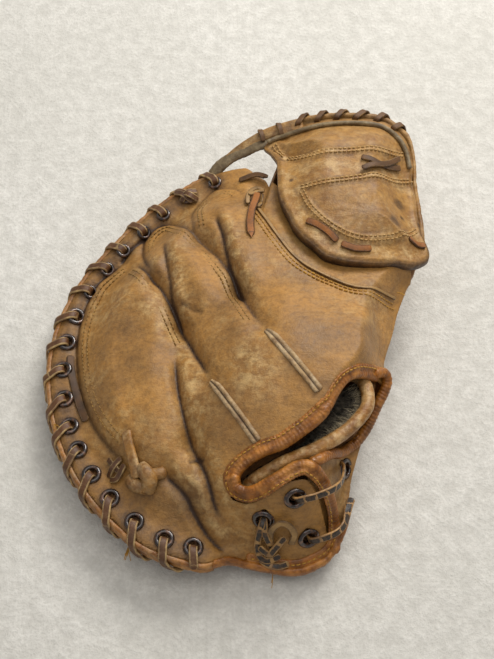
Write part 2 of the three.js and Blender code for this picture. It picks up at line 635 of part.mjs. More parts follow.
function makeBack() {
  const plain = sheet(backGrid, backHeight, underBack);
  const holes = rimHoles.map((deg) => {
    const p = rimPoint(deg, eyeletInset, 0);
    return post(p, normalOf(onBack, p.x, p.y), eyelet.hole, 16);
  });
  const strapHoles = tongueEyelets.map((e) => (
    post(new THREE.Vector3(e.x, e.y, onBack(e.x, e.y)), normalOf(onBack, e.x, e.y), eyelet.hole, 14)));
  const seats = [openingBinding(gap), tongueBinding(gap), seatedStrip(seamRoute, seamSize, seamSteps, gap),
    ...backWelts.map((route) => seatedStrip(route, weltSize, weltSteps, gap))];
  addPiece('back_shell', cutAway(plain, [prism(mouthCut), prism(thumbCut), ...holes, ...strapHoles, ...seats]),
    bodyTan);
  rimHoles.forEach((deg, i) => {
    const p = rimPoint(deg, eyeletInset, 0);
    addEyelet(`rim_eyelet_${i + 1}`, onBack, p.x, p.y);
  });
  for (const e of tongueEyelets) addEyelet(e.name, onBack, e.x, e.y);
  backWelts.forEach((route, i) => {
    addPiece(`back_welt_${i + 1}`, seatedStrip(route, weltSize, weltSteps), rollTan);
  });
  addPiece('thumb_seam_welt', seatedStrip(seamRoute, seamSize, seamSteps), pipingOlive);
}

// The palm pad is one thick padded piece under everything. A row for each ring:
// how far out it lies, and its height as a share of the flange's plus a level.
const padTopRows = [
  { share: 0.4, inset: rimBand, flange: 0, level: padLevel - 1 },
  { share: 1, inset: 36, flange: 0.1, level: 0.9 * padLevel },
  { share: 1, inset: rimBand, flange: 1, level: 0 },
  { share: 1, inset: padInset, flange: 1, level: 0 },
];
const padUnderRows = [
  { share: 1, inset: padInset, flange: 1, level: -padFlange },
  { share: 1, inset: 11.5, flange: 1, level: -padFlange - 1.6 },
  { share: 1, inset: 17, flange: 0.42, level: 0 },
  { share: 1, inset: 24, flange: 0.1, level: 0 },
  { share: 1, inset: 31, flange: 0, level: 0 },
  { share: 1, inset: 50, flange: 0, level: 0 },
  { share: 0.36, inset: rimBand, flange: 0, level: pocketDepth },
];

function padLoop(row) {
  return gridLoop(backGrid, row, (x, y, deg) => {
    const flangeTop = tableAt(outline, 'rimZ', deg) - leather - 2 * gap;
    return Math.max(0, row.flange * flangeTop + row.level);
  });
}

function makePad() {
  const pad = loft([...padTopRows, ...padUnderRows].map(padLoop));
  const aboveBack = sheet(backGrid, () => high, (x, y) => underBack(x, y) - gap);
  const aboveWing = solidOf(sheet(backGrid, () => high, (x, y) => underWing(x, y) - gap))
    .intersect(solidOf(prism(wingArea)));
  const holes = rimHoles.map((deg) => (
    post(rimPoint(deg, eyeletInset, 0), new THREE.Vector3(0, 0, 1), padHole, 40)));
  const cutters = [aboveBack, geometryOf(aboveWing), flapCutter(), aboveFleece(), ...holes,
    wingBinding(gap), openingBinding(gap), ...thumbHoles.map(slitCutter)];
  addPiece('palm_pad', cutAway(pad, cutters), padTan);
}

function makeRimWelt(name, size, fromDeg, toDeg, turns) {
  const middle = (size.inner + size.outer) / 2;
  const corners = [
    [size.inner, size.top - 1], [middle, size.top], [size.outer, size.top - 2.4],
    [size.outer, size.bottom + 2.4], [middle, size.bottom], [size.inner, size.bottom + 2],
  ];
  const loops = [];
  const step = 360 / bodySegments;
  for (let i = Math.ceil(fromDeg / step); i * step <= toDeg; i += 1) {
    loops.push(corners.map(([inset, up]) => rimPoint(i * step, inset, up)));
  }
  addPiece(name, cutAway(loft(loops), turns), bindingOrange);
}

// Everything above the flap's underside, to keep what lies below clear of it.
function flapCutter() {
  return sheet(flapGrid, () => high, (x, y, deg, share) => underFlap(x, y, deg, share) - gap);
}

function makeFlap() {
  const flap = solidOf(sheet(flapGrid, flapHeight, underFlap));
  const back = solidOf(sheet(backGrid, (x, y) => backHeight(x, y) + gap, (x, y) => backHeight(x, y) - 25));
  const seat = back.subtract(solidOf(prism(thumbCut)));
  addPiece('thumb_flap', cutAway(geometryOf(flap.subtract(seat)), thumbHoles.map(slitCutter)), thumbTan);
  addPiece('thumb_piping', rope(onSurface(pipingRoute, onFlap, pipingRadius + seamLift, 10), pipingRadius, 11),
    pipingOlive);
  thumbLaces.forEach((route, i) => {
    addPiece(`thumb_lace_${i + 1}`, layStrip(spread(route, 3), onFlap, lace.width, lace.thick, seamLift), laceOrange);
  });
  const [first, second] = crossLaces.map((route, i) => (
    layStrip(spread(route, 4), onFlap, lace.width - 1, lace.thick + i, crossLift)));
  addPiece('thumb_cross_lace', joinUp([first, second]), laceBrown);
}

// The lining behind the cuff roll, falling away into the hand hollow.
const fleeceDrop = { inward: 12, down: 14, thick: 3 };

function fleeceSections() {
  return rollPath.map((p, i) => {
    const tangent = tangentAt(rollPath, i).setZ(0).normalize();
    const inward = new THREE.Vector3(-tangent.y, tangent.x, 0);
    const top = p.clone().setZ(p.z - rollRadius - gap);
    const foot = p.clone().addScaledVector(inward, fleeceDrop.inward);
    foot.z = Math.max(padLevel + 2, p.z - rollRadius - fleeceDrop.down);
    return { top, foot, inward };
  });
}

function fleece() {
  return loft(fleeceSections().map(({ top, foot, inward }) => {
    const back = inward.clone().multiplyScalar(-fleeceDrop.thick);
    return [top, foot, foot.clone().add(back), top.clone().add(back)];
  }));
}

// The room over the lining, which the pad's heel leaves free.
function aboveFleece() {
  return loft(fleeceSections().map(({ top, foot, inward }) => {
    const back = inward.clone().multiplyScalar(-fleeceDrop.thick - gap);
    const front = foot.clone().addScaledVector(inward, gap);
    const backTop = top.clone().add(back);
    return [backTop.clone().setZ(high), front.clone().setZ(high), front.setZ(foot.z - gap),
      foot.clone().add(back).setZ(foot.z - gap), backTop.setZ(top.z - gap)];
  }));
}

function makeStrap() {
  const area = solidOf(prism(wingArea));
  const bore = post(new THREE.Vector3(wingEyelet.x, wingEyelet.y, onWing(wingEyelet.x, wingEyelet.y)),
    normalOf(onWing, wingEyelet.x, wingEyelet.y), eyelet.hole, 14);
  const wing = solidOf(sheet(backGrid, wingTop, underWing)).intersect(area);
  addPiece('strap_wing', cutAway(geometryOf(wing), [bore, wingBinding(gap), tongueBinding(gap)]), bodyTan);
  addPiece('wing_binding', wingBinding(0), bindingOrange);
  addPiece('opening_binding', openingBinding(0), bindingOrange);
  addPiece('tongue_binding', tongueBinding(0), bindingOrange);
  addPiece('cuff_roll', rope(rollPath, rollRadius, 16), rollTan);
  addPiece('fleece_lining', fleece(), fleeceGrey);
  addEyelet(wingEyelet.name, onWing, wingEyelet.x, wingEyelet.y);
  addPiece('strap_lace_upper', layStrip(upperStrapRoute, onBack, lace.width, lace.thick), laceBlack);
  addPiece('strap_lace_lower', layStrip(lowerStrapRoute, onBack, lace.width, lace.thick), laceBlack);
  addPiece('strap_knot', joinUp([knotLoop, knotTail].map((route) => (
    layStrip(route, onBack, lace.width, lace.thick)))), laceBlack);
}

makeBack();
makePad();
makeRimWelt('finger_rim_welt', rimWelt, 96, 264, [windLace(rimHoles, rimTurn, gap)]);
makeRimWelt('thumb_rim_welt', rimWelt, 24, 78, [windLace(thumbHoles, thumbTurn, gap), flapCutter()]);
makeRimWelt('strap_edge_binding', strapEdge, 265, 298, []);
makeFlap();
makeStrap();
addPiece('finger_rim_lace', windLace(rimHoles, rimTurn), laceBrown);
addPiece('thumb_rim_lace', windLace(thumbHoles, thumbTurn), laceBrown);
const webPath = spread(webRoute, 8);
addPiece('web_strip', ribbon(webPath, webPath.map((_, i) => (
  tangentAt(webPath, i).cross(new THREE.Vector3(0, 0, 1)))), webStrip.width, webStrip.thick), pipingOlive);
addPiece('web_tip_lace', layStrip(tipLaceRoute, onBack, lace.width - 1, lace.thick, gap), laceBrown);
addPiece('tail_lace', layStrip(tailRoute, onBack, lace.width, lace.thick, gap), laceOrange);
addPiece('corner_knot', joinUp([cornerKnot, cornerWrap].map((route) => (
  layStrip(route, onBack, lace.width, lace.thick + 0.6)))), rollTan);

// The origin is on the floor, under the middle of the mitt's box.
const box = new THREE.Box3().setFromObject(mitt);
mitt.position.set(-(box.min.x + box.max.x) / 2, -(box.min.y + box.max.y) / 2, -box.min.z);

export default mitt;
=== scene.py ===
# A worn catcher's mitt lying palm down, its back up: leather, laces, eyelets and stitching.
# All drawing is in millimetres about the middle of the hand; toFrame turns it to metres.
import math
import random

import bpy
import numpy as np
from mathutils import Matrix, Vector, noise


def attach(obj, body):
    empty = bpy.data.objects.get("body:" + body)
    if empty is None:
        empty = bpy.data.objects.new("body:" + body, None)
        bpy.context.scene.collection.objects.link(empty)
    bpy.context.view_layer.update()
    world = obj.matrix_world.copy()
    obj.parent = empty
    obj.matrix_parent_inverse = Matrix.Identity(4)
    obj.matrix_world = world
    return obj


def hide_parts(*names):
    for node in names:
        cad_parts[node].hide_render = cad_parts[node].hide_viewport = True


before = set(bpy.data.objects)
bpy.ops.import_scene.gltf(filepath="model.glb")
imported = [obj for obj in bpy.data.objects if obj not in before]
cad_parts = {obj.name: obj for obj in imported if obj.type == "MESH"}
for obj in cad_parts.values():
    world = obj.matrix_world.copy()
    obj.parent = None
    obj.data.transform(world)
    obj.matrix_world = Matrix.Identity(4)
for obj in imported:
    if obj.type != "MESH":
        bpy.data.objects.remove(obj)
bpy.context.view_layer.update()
random.seed(7)

handMiddle = np.array([2.474, -1.281, 0.0])  # where the middle of the hand lies in the frame
leather = 2.6  # wall of the back, flap and strap leather
gap = 0.35  # clearance between neighbouring pieces

# deg, reach to the outside of the rim, height of its top, width of the flat band, run of the rise
outline = [
    (4, 95.5, 42, 0, 24), (15, 106.5, 46, 0, 24), (20, 119, 50, 2, 24), (29, 128.5, 55, 6, 24),
    (41, 146, 58, 8, 24), (47, 161.5, 61, 8, 24), (51.5, 170.5, 64, 8, 24), (56.5, 172, 66, 8, 24),
    (64, 164, 67, 8, 24), (71.5, 155.5, 65, 8, 24), (75, 152, 63, 8, 24), (77.4, 147, 60, 8, 24),
    (80, 109, 50, 8, 30), (84, 113, 48, 10, 30), (89, 121, 46, 12, 30), (97, 121.5, 41, 14, 30),
    (104, 119.5, 37, 14, 30), (112, 115.7, 34, 14, 30), (121, 112.7, 31, 14, 30), (130, 110, 29, 14, 30),
    (141, 109, 27, 14, 30), (161, 111.9, 24, 14, 28), (180, 116, 23, 14, 28), (201, 121, 24, 14, 28),
    (219, 127.9, 27, 14, 28), (237, 136, 28, 14, 28), (251, 142, 28, 14, 28), (261, 142, 26, 12, 28),
    (268, 135, 20, 4, 30), (274, 137, 15, 0, 34), (284, 143, 14, 0, 36), (289.5, 141.5, 15, 0, 36),
    (295, 134, 20, 0, 34), (307, 108.5, 30, 0, 30), (317, 98.5, 38, 0, 26), (326, 95, 44, 0, 22),
    (335, 93, 50, 0, 20), (345, 89.5, 46, 0, 20),
]
reach, rimZ, flange, rise = 1, 2, 3, 4
holeInset = 9.5  # from the rim to the middle of an eyelet

# x, y, height of the back over the hand
crown = [
    (-88, 0, 38), (-70, -15, 47), (-60, -60, 47), (-62, -96, 38), (-25, -108, 44), (-20, -70, 58),
    (-35, 10, 60), (-52, 55, 47), (-15, 85, 56), (12, 40, 69), (50, 14, 71), (85, 18, 60),
    (42, -28, 83), (2, -45, 76), (24, -68, 84), (52, -44, 86), (74, -24, 78), (12, -104, 57),
    (36, -96, 62), (60, 60, 56), (60, 100, 60),
]

# x, y to x, y, depth and width of the broad folds
folds = [
    (-52, 30, -36, -5, -6, 7), (-36, -5, -19, -44, -6, 8), (-24, 58, -3, 16, -5, 7),
    (-3, 16, 12, -16, -4, 7), (-38, -22, -28, -78, -4, 8), (-28, -78, -12, -112, -5, 8),
    (-42, -92, -20, -122, -6, 8), (-74, 56, -58, 76, -3, 7), (-56, -20, -48, -76, 3, 14),
    (-40, 56, -22, 14, 3, 8), (-12, 76, 6, 24, 3, 9),
]

# deg, reach, height and thickness of the thumb flap's edge, about the flap's own middle
flapMiddle = (70, 90)
flapOutline = [
    (9, 38.5, 58, 2.6), (35, 47, 61, 2.6), (49.6, 52.5, 64, 2.6), (65.8, 55.5, 66, 2.6),
    (90, 53, 67, 2.6), (113.7, 56.6, 65, 2.6), (130.4, 61.7, 60, 2.6), (138, 67.3, 57, 2.6),
    (145.8, 66.5, 57, 3), (149.5, 59.2, 61, 4), (159, 50.3, 66, 5), (178.8, 47, 69, 7),
    (209.7, 48.4, 72, 7), (225, 52.3, 73, 7), (241.1, 55.9, 73.5, 7), (252.5, 59.8, 73, 7),
    (271.9, 60, 71, 7), (291.5, 61.3, 66, 7), (305, 65, 59, 6), (312, 65, 56, 5), (325.7, 49.6, 56, 2.6),
    (343.1, 41.3, 57, 2.6),
]
edgeZ, edgeThick = 2, 3
flapForm = dict(crown=79, brim=1.5, run=29, seamRise=1.1, seamWidth=2.4)
flapSeams = [
    [(28.5, 111.7), (36.1, 108.2), (47.8, 105.4), (60.8, 105.8), (73.8, 106.8), (86.7, 108.8),
     (97, 112.5), (104.5, 117)],
    [(35.7, 82.2), (45.4, 81.8), (55.6, 82.8), (68.5, 84.8), (79.6, 86.9), (91.1, 90.5), (101, 96),
     (109, 99.5)],
    [(37, 80.5), (41.8, 67.1), (50.6, 55.3), (62.9, 46.4), (75.4, 44.2), (89, 47), (98, 51.5),
     (103.5, 57), (109.5, 64)],
    [(21, 128), (24, 121), (28, 113)],
]

rimHoles = [98.5, 108.5, 118.5, 128, 138.4, 147.4, 157.9, 168.6, 178.8, 189, 199.4, 209, 217.2, 225.7,
            234.2, 243, 251.6, 258.8]
thumbHoles = [75.4, 71, 66.8, 62.7, 58.4, 54.2]

# routes seen from above
openingRoute = [(-5, -103.5), (-3, -97.5), (4, -92), (13, -87), (21, -83), (30, -78), (39, -72),
                (46, -66), (50.5, -58), (56, -50.5), (63, -45), (71, -41), (78, -40)]
tongueRoute = [(-5, -109.5), (4, -112.5), (13, -111), (21, -107.5), (30, -105), (37, -104.5), (42, -108),
               (46, -114), (49, -121)]
wingRoute = [(42, -95), (56, -85), (66, -73), (71.5, -63), (76, -55)]
seamRoute = [(9, 80), (15, 68), (24, 50), (35, 33.5), (52, 21), (70, 14), (92, 18)]
thumbSide = [(-13, 160), (-9, 124), (3, 123), (14, 112), (18, 100), (34, 84), (46, 64), (62, 52),
             (90, 48), (130, 50), (130, 160)]
wingSide = [(37, -98), *wingRoute, (100, -53), (90, -150), (45, -150), (42, -125), (38, -112)]


def unit(v):
    return v / (np.linalg.norm(v, axis=-1, keepdims=True) + 1e-9)


def smooth(t):
    t = np.clip(t, 0, 1)
    return t * t * (3 - 2 * t)


def column(rows, key, deg):
    # one column of a polar table at any angle, smoothly and round the seam
    a = np.array([r[0] for r in rows], float)
    v = np.array([r[key] for r in rows], float)
    a = np.concatenate([a[-2:] - 360, a, a[:2] + 360])
    v = np.concatenate([v[-2:], v, v[:2]])
    step = np.diff(v) / np.diff(a)
    left, right = step[:-1], step[1:]
    both = left * right > 0
    slope = np.zeros(len(a))
    slope[1:-1][both] = 2 * (left * right)[both] / (left + right)[both]
    deg = (np.asarray(deg, float) - rows[0][0]) % 360 + rows[0][0]
    i = np.clip(np.searchsorted(a, deg, side="right") - 1, 1, len(a) - 3)
    span = a[i + 1] - a[i]
    t = (deg - a[i]) / span
    d, s, e = v[i + 1] - v[i], slope[i] * span, slope[i + 1] * span
    return v[i] + t * (s + t * (3 * d - 2 * s - e + t * (s + e - 2 * d)))


def curve(route, count):
    # a smooth line through the route's points, in even steps
    p = np.array(route, float)
    p = np.vstack([2 * p[0] - p[1], p, 2 * p[-1] - p[-2]])
    dense = []
    for i in range(1, len(p) - 2):
        t = np.linspace(0, 1, 24, endpoint=False)[:, None]
        a, b, c, d = p[i - 1], p[i], p[i + 1], p[i + 2]
        dense.append(0.5 * (2 * b + (c - a) * t + (2 * a - 5 * b + 4 * c - d) * t ** 2
                            + (3 * b - a - 3 * c + d) * t ** 3))
    dense = np.vstack([*dense, p[-2:-1]])
    along = np.concatenate([[0], np.cumsum(np.linalg.norm(np.diff(dense, axis=0), axis=1))])
    at = np.linspace(0, along[-1], count)
    return np.column_stack([np.interp(at, along, dense[:, k]) for k in range(p.shape[1])])


def nearLine(x, y, route, steps=26):
    # distance to a smooth line, share of the way along it, and the side (left is positive)
    p = curve([r[:2] for r in route], steps)
    best = np.full(x.shape, 1e9)
    along = np.zeros(x.shape)
    side = np.zeros(x.shape)
    for i in range(len(p) - 1):
        d = p[i + 1] - p[i]
        t = np.clip(((x - p[i, 0]) * d[0] + (y - p[i, 1]) * d[1]) / (d @ d), 0, 1)
        ox, oy = x - p[i, 0] - t * d[0], y - p[i, 1] - t * d[1]
        dist = np.hypot(ox, oy)
        closer = dist < best
        best = np.where(closer, dist, best)
        along = np.where(closer, (i + t) / (len(p) - 1), along)
        side = np.where(closer, np.sign(d[0] * oy - d[1] * ox), side)
    return best, along, side


# Creases and seams of the back. Depth and width of the groove, how far the leather on its left
# stands above the leather on its right and over what width, how pale its ridges are rubbed, and
# on which side most (the left one, unless side says otherwise).
creases = [
    dict(name="little finger outer seam", depth=2, width=1.5, step=2.2, over=6, pale=0.5,
         path=[(-66.5, 54.1), (-73.5, 57.1), (-80, 53), (-89.8, 44), (-94.3, 34.5), (-98, 22), (-100, 8),
               (-100, -6), (-97, -25), (-92, -43), (-85, -58), (-76, -71), (-69, -79), (-63, -86)]),
    dict(name="little finger inner fold", depth=3.4, width=2.3, step=-1, over=8, pale=0.9, side=-1,
         path=[(-66.5, 54.1), (-61, 44.7), (-55.5, 35.5), (-48.9, 27.4), (-43.5, 17), (-36.4, 1.4),
               (-29.4, -15.1), (-20.4, -34.7), (-16.1, -43.4)]),
    dict(name="ring finger seam", depth=2.2, width=1.9, step=-1.1, over=8, pale=0.4,
         path=[(-50.5, 31), (-56.5, 43), (-60.4, 54.7), (-62.3, 67.3), (-60.5, 76.2), (-56.1, 82),
               (-50.3, 84.7), (-43, 83), (-34.4, 69.7), (-27.6, 61.5), (-17.8, 49), (-8.8, 34.6),
               (-4.5, 26.6), (0.9, 11.7), (8.2, -6.1), (16.1, -20.7)]),
    dict(name="ring finger inner fold", depth=2.3, width=2, step=0.8, over=6, pale=1,
         path=[(-48, 62.4), (-45.5, 46), (-43.8, 36.4), (-42, 26.3), (-41.2, 18.5), (-38.3, 7.6),
               (-34, -4)]),
    dict(name="middle finger inner fold", depth=3.2, width=2.2, step=1.2, over=7, pale=1,
         path=[(-15.8, 73.9), (-11.2, 59), (-8.9, 46.5), (-5.5, 31), (-1.2, 18.2), (3, 6)]),
    dict(name="middle finger seam", depth=1.3, width=1.5, step=-1, over=6, pale=0.4,
         path=[(-27.6, 61.5), (-29.1, 66.3), (-30.7, 84.8), (-26.6, 95.3), (-19.4, 103.6), (-13.4, 105.6),
               (-4, 102), (3.8, 90)]),
    dict(name="rim slit", depth=2.6, width=1.2, step=0.6, over=5, pale=0.3,
         path=[(-76.5, 56.6), (-70.3, 66.6), (-63.3, 74.3), (-57.6, 80.5)]),
    dict(name="heel fold", depth=3.3, width=2.3, step=1.2, over=9, pale=1,
         path=[(-38, -21), (-35.9, -41.7), (-32.4, -58.7), (-28.7, -72.4), (-23.9, -83.9), (-18.7, -95),
               (-13, -112), (-7, -118)]),
    dict(name="low fold", depth=3, width=2.3, step=1, over=8, pale=0.8,
         path=[(-43, -91), (-31, -103), (-25, -113), (-17, -124), (-7, -132)]),
    dict(name="small fold", depth=1.2, width=1.6, step=0.5, over=5, pale=0.5,
         path=[(-36, 12), (-29, 6), (-21, 1)]),
    dict(name="short fold", depth=1.6, width=1.6, step=0, over=5, pale=0.3,
         path=[(-29, -88), (-24, -86), (-19, -88)]),
    dict(name="thumb seam groove", depth=0.8, width=2.2, step=0, over=6, pale=0.2, path=seamRoute),
]


def creaseHeight(x, y, marks=None):
    height = np.zeros(x.shape)
    for c in creases:
        d, along, side = nearLine(x, y, c["path"], 44)
        fade = smooth(along * 9) * smooth((1 - along) * 9)
        size = c["depth"] / 3
        height += fade * (0.8 * size * np.exp(-((d - 5) / 3.2) ** 2) - c["depth"] * np.exp(-d / c["width"]))
        height += fade * 0.5 * c["step"] * np.tanh(side * d) * np.exp(-(d / c["over"]) ** 2)
        if marks is not None:
            # each groove is painted dark: a narrow line of painted shade down its middle, with dirt spread
            # beside it
            line = min(1, 1.1 * size) * np.exp(-(d / 1.1) ** 2)
            marks["dirt"] += fade * (line + 0.25 * size * np.exp(-d / 3))
            ridge = c["pale"] * np.where(side * c.get("side", 1) > 0, 1, 0.3)
            marks["worn"] += fade * ridge * np.exp(-((d - 5.5) / 3) ** 2)
    return height


crownReach = 24  # how far each height of the crown is felt


def crownHeight(x, y):
    total, weight = np.zeros(x.shape), np.zeros(x.shape)
    for px, py, pz in crown:
        w = np.exp(-((x - px) ** 2 + (y - py) ** 2) / (2 * crownReach ** 2)) + 1e-6
        total, weight = total + w * pz, weight + w
    return total / weight


def foldHeight(x, y):
    height = np.zeros(x.shape)
    for x1, y1, x2, y2, depth, width in folds:
        dx, dy = x2 - x1, y2 - y1
        t = np.clip(((x - x1) * dx + (y - y1) * dy) / (dx * dx + dy * dy), 0, 1)
        height += depth * np.exp(-((x - x1 - t * dx) ** 2 + (y - y1 - t * dy) ** 2) / width ** 2)
    return height


def ripple(x, y, scale, seed):
    # soft random unevenness between -1 and 1
    flat = [noise.noise(Vector((a / scale, b / scale, seed))) for a, b in zip(x.ravel(), y.ravel())]
    return np.array(flat).reshape(x.shape)


def backHeight(x, y, marks=None):
    x, y = np.asarray(x, float), np.asarray(y, float)
    deg = np.degrees(np.arctan2(y, x))
    inset = column(outline, reach, deg) - np.hypot(x, y)
    rim = column(outline, rimZ, deg)
    up = smooth((inset - column(outline, flange, deg)) / column(outline, rise, deg))
    height = rim + (crownHeight(x, y) + foldHeight(x, y) - rim) * up
    return height + creaseHeight(x, y, marks) * smooth(inset / 12)


def flapRoom(x, y):
    # distance in from the flap's edge
    turn = np.arange(0, 360, 4.0)
    far = column(flapOutline, reach, turn)
    xs = flapMiddle[0] + far * np.cos(np.radians(turn))
    ys = flapMiddle[1] + far * np.sin(np.radians(turn))
    return -polygonRoom(x, y, list(zip(xs, ys)))


def flapHeight(x, y, marks=None):
    x, y = np.asarray(x, float), np.asarray(y, float)
    dx, dy = x - flapMiddle[0], y - flapMiddle[1]
    edge = column(flapOutline, edgeZ, np.degrees(np.arctan2(dy, dx)))
    up = smooth((flapRoom(x, y) - flapForm["brim"]) / flapForm["run"])
    height = edge + (flapForm["crown"] - edge) * up
    for line in flapSeams:
        d, along, _ = nearLine(x, y, line)
        raised = flapForm["seamRise"] * np.exp(-(d / flapForm["seamWidth"]) ** 2)
        height = height + raised * smooth(along * 9) * smooth((1 - along) * 9)
        if marks is not None:
            marks["dirt"] += 0.3 * np.exp(-((d - 3.4) / 1) ** 2)
            marks["worn"] += 0.6 * np.exp(-(d / 2) ** 2)
    return height


def wallHeight(height, x, y, wall):
    # how thick a wall is when measured straight down through a slope
    return wall * np.minimum(2, 1 / normalAt(height, x, y)[..., 2])


def normalAt(height, x, y):
    x, y = np.asarray(x, float), np.asarray(y, float)
    d = 1.5
    gx = (height(x + d, y) - height(x - d, y)) / (2 * d)
    gy = (height(x, y + d) - height(x, y - d)) / (2 * d)
    return unit(np.stack([-gx, -gy, np.ones_like(gx)], axis=-1))


def wingHeight(x, y):
    return backHeight(x, y) - wallHeight(backHeight, x, y, leather + 2 * gap)


def onSurface(route, height, lift, count):
    # a line laid on a surface and lifted off it along its normal
    p = curve(route, count)
    n = normalAt(height, p[:, 0], p[:, 1])
    base = np.column_stack([p[:, 0], p[:, 1], height(p[:, 0], p[:, 1])])
    return base + n * lift


def rimPoint(deg, inset, up):
    r = column(outline, reach, deg) - inset
    a = np.radians(deg)
    return np.array([r * np.cos(a), r * np.sin(a), column(outline, rimZ, deg) + up])


def inside(x, y, corners):
    hit = np.zeros(x.shape, bool)
    for (ax, ay), (bx, by) in zip(corners, [*corners[1:], corners[0]]):
        crosses = (ay > y) != (by > y)
        if ay != by:
            hit ^= crosses & (x < (bx - ax) * (y - ay) / (by - ay) + ax)
    return hit


def polygonRoom(x, y, corners):
    # distance to a closed line, positive outside it
    best = np.full(x.shape, 1e9)
    for (ax, ay), (bx, by) in zip(corners, [*corners[1:], corners[0]]):
        dx, dy = bx - ax, by - ay
        t = np.clip(((x - ax) * dx + (y - ay) * dy) / (dx * dx + dy * dy + 1e-9), 0, 1)
        best = np.minimum(best, np.hypot(x - ax - t * dx, y - ay - t * dy))
    return np.where(inside(x, y, corners), -best, best)


def outlineRoom(x, y, edge):
    return column(outline, reach, np.degrees(np.arctan2(y, x))) - edge - np.hypot(x, y)


def fittedSheet(low, high, step, room):
    # an even grid over an area; its outermost points are moved on to the area's edge
    xs, ys = np.meshgrid(np.arange(low[0], high[0], step), np.arange(low[1], high[1], step),
                         indexing="ij")
    r = room(xs, ys)
    gx, gy = np.gradient(r, step)
    size = np.maximum(gx ** 2 + gy ** 2, 0.4)
    outer, inner = -0.75 * step, 0.35 * step
    near = (r > outer) & (r < inner)
    xs = np.where(near, xs - r * gx / size, xs)
    ys = np.where(near, ys - r * gy / size, ys)
    used = (r > outer).ravel()
    n = xs.shape[1]
    faces = []
    for i in range(xs.shape[0] - 1):
        for j in range(n - 1):
            quad = (i * n + j, (i + 1) * n + j, (i + 1) * n + j + 1, i * n + j + 1)
            corners = tuple(q for q in quad if used[q])
            if len(corners) > 2:
                faces.append(corners)
    return xs, ys, faces


def stack(*axes):
    return np.column_stack([a.ravel() for a in axes])


def toFrame(points):
    return (np.asarray(points, float).reshape(-1, 3) + handMiddle) / 1000


def addMesh(name, points, faces, material, nodes=(), slot=None, attributes=None):
    mesh = bpy.data.meshes.new(name)
    mesh.from_pydata(toFrame(points).tolist(), [], [list(map(int, f)) for f in faces])
    mesh.validate()
    for key, values in (attributes or {}).items():
        layer = mesh.attributes.new(key, "FLOAT", "POINT")
        layer.data.foreach_set("value", np.asarray(values, np.float32).ravel())
    mesh.polygons.foreach_set("use_smooth", [True] * len(mesh.polygons))
    mesh.materials.append(material)
    piece = bpy.data.objects.new(name, mesh)
    bpy.context.scene.collection.objects.link(piece)
    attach(piece, "root")
    if nodes:
        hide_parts(*nodes)
    print("made", name, len(mesh.polygons), "faces")
    return piece


def gridFaces(rows, columns, closed):
    # quads between neighbouring rows
    faces = []
    for i in range(rows - 1):
        for j in range(columns if closed else columns - 1):
            k = (j + 1) % columns
            faces.append((i * columns + j, i * columns + k, (i + 1) * columns + k, (i + 1) * columns + j))
    return faces


def endFans(rows, n):
    # closes the first and last ring on two further points, one for each
    first = [(rows * n, (j + 1) % n, j) for j in range(n)]
    return first + [(rows * n + 1, (rows - 1) * n + j, (rows - 1) * n + (j + 1) % n) for j in range(n)]


def dropLoose(points, faces, attributes):
    used = sorted({q for f in faces for q in f})
    place = {q: i for i, q in enumerate(used)}
    points = np.asarray(points).reshape(-1, 3)[used]
    faces = [tuple(place[q] for q in f) for f in faces]
    return points, faces, {k: np.asarray(v).ravel()[used] for k, v in attributes.items()}


def thicken(top, under, faces):
    # closes an open sheet with its underside and a wall along its free edge
    n = len(top)
    count = {}
    for f in faces:
        for a, b in zip(f, [*f[1:], f[0]]):
            count[(a, b)] = count.get((a, b), 0) + 1
    walls = [(b, a, a + n, b + n) for (a, b) in count if (b, a) not in count]
    return np.vstack([top, under]), [*faces, *[tuple(q + n for q in reversed(f)) for f in faces], *walls]


def framesAlong(path, up=None):
    # side and up vectors that turn smoothly along a path
    tangent = unit(np.gradient(path, axis=0))
    if up is None:
        first = np.array([0, 0, 1.0]) if abs(tangent[0, 2]) < 0.9 else np.array([1.0, 0, 0])
        ups = [first]
        for t in tangent[1:]:
            ups.append(unit(ups[-1] - t * (ups[-1] @ t)))
        up = np.array(ups)
    side = unit(np.cross(tangent, up))
    return side, np.cross(side, tangent)


def tubeMesh(path, section, up=None, cap=0.5):
    # sweeps a closed section (s, u pairs, or one set for each step) along a path; ends are capped
    side, up = framesAlong(path, up)
    section = np.asarray(section, float)
    if section.ndim == 2:
        section = np.repeat(section[None], len(path), 0)
    m = section.shape[1]
    tangent = unit(np.gradient(path, axis=0))
    rings = path[:, None] + section[..., :1] * side[:, None] + section[..., 1:] * up[:, None]
    size = np.abs(section[0]).max() * cap
    start = path[0] + (rings[0] - path[0]) * 0.6 - tangent[0] * size * 0.7
    end = path[-1] + (rings[-1] - path[-1]) * 0.6 + tangent[-1] * size * 0.7
    rings = np.concatenate([start[None], rings, end[None]])
    points = np.vstack([rings.reshape(-1, 3), path[0] - tangent[0] * size, path[-1] + tangent[-1] * size])
    rows = len(rings)
    return points, gridFaces(rows, m, True) + endFans(rows, m)


def roundSection(radius, sides=14, flat=1.0):
    a = np.linspace(0, 2 * np.pi, sides, endpoint=False)
    return np.column_stack([radius * np.cos(a), radius * flat * np.sin(a)])


def laceSection(width, thick):
    # a flat lace with rounded edges and a slightly hollow face
    shape = [(-1, 0), (-0.9, -0.75), (-0.6, -1), (0, -0.9), (0.6, -1), (0.9, -0.75), (1, 0), (0.9, 0.75),
             (0.6, 1), (0, 0.86), (-0.6, 1), (-0.9, 0.75)]
    return np.array(shape) * [width / 2, thick / 2]


def joinParts(parts):
    points, faces, n = [], [], 0
    for p, f in parts:
        points.append(np.asarray(p).reshape(-1, 3))
        faces += [tuple(q + n for q in face) for face in f]
        n += len(points[-1])
    return np.vstack(points), faces


def pathLength(path):
    return np.concatenate([[0], np.cumsum(np.linalg.norm(np.diff(path, axis=0), axis=1))])


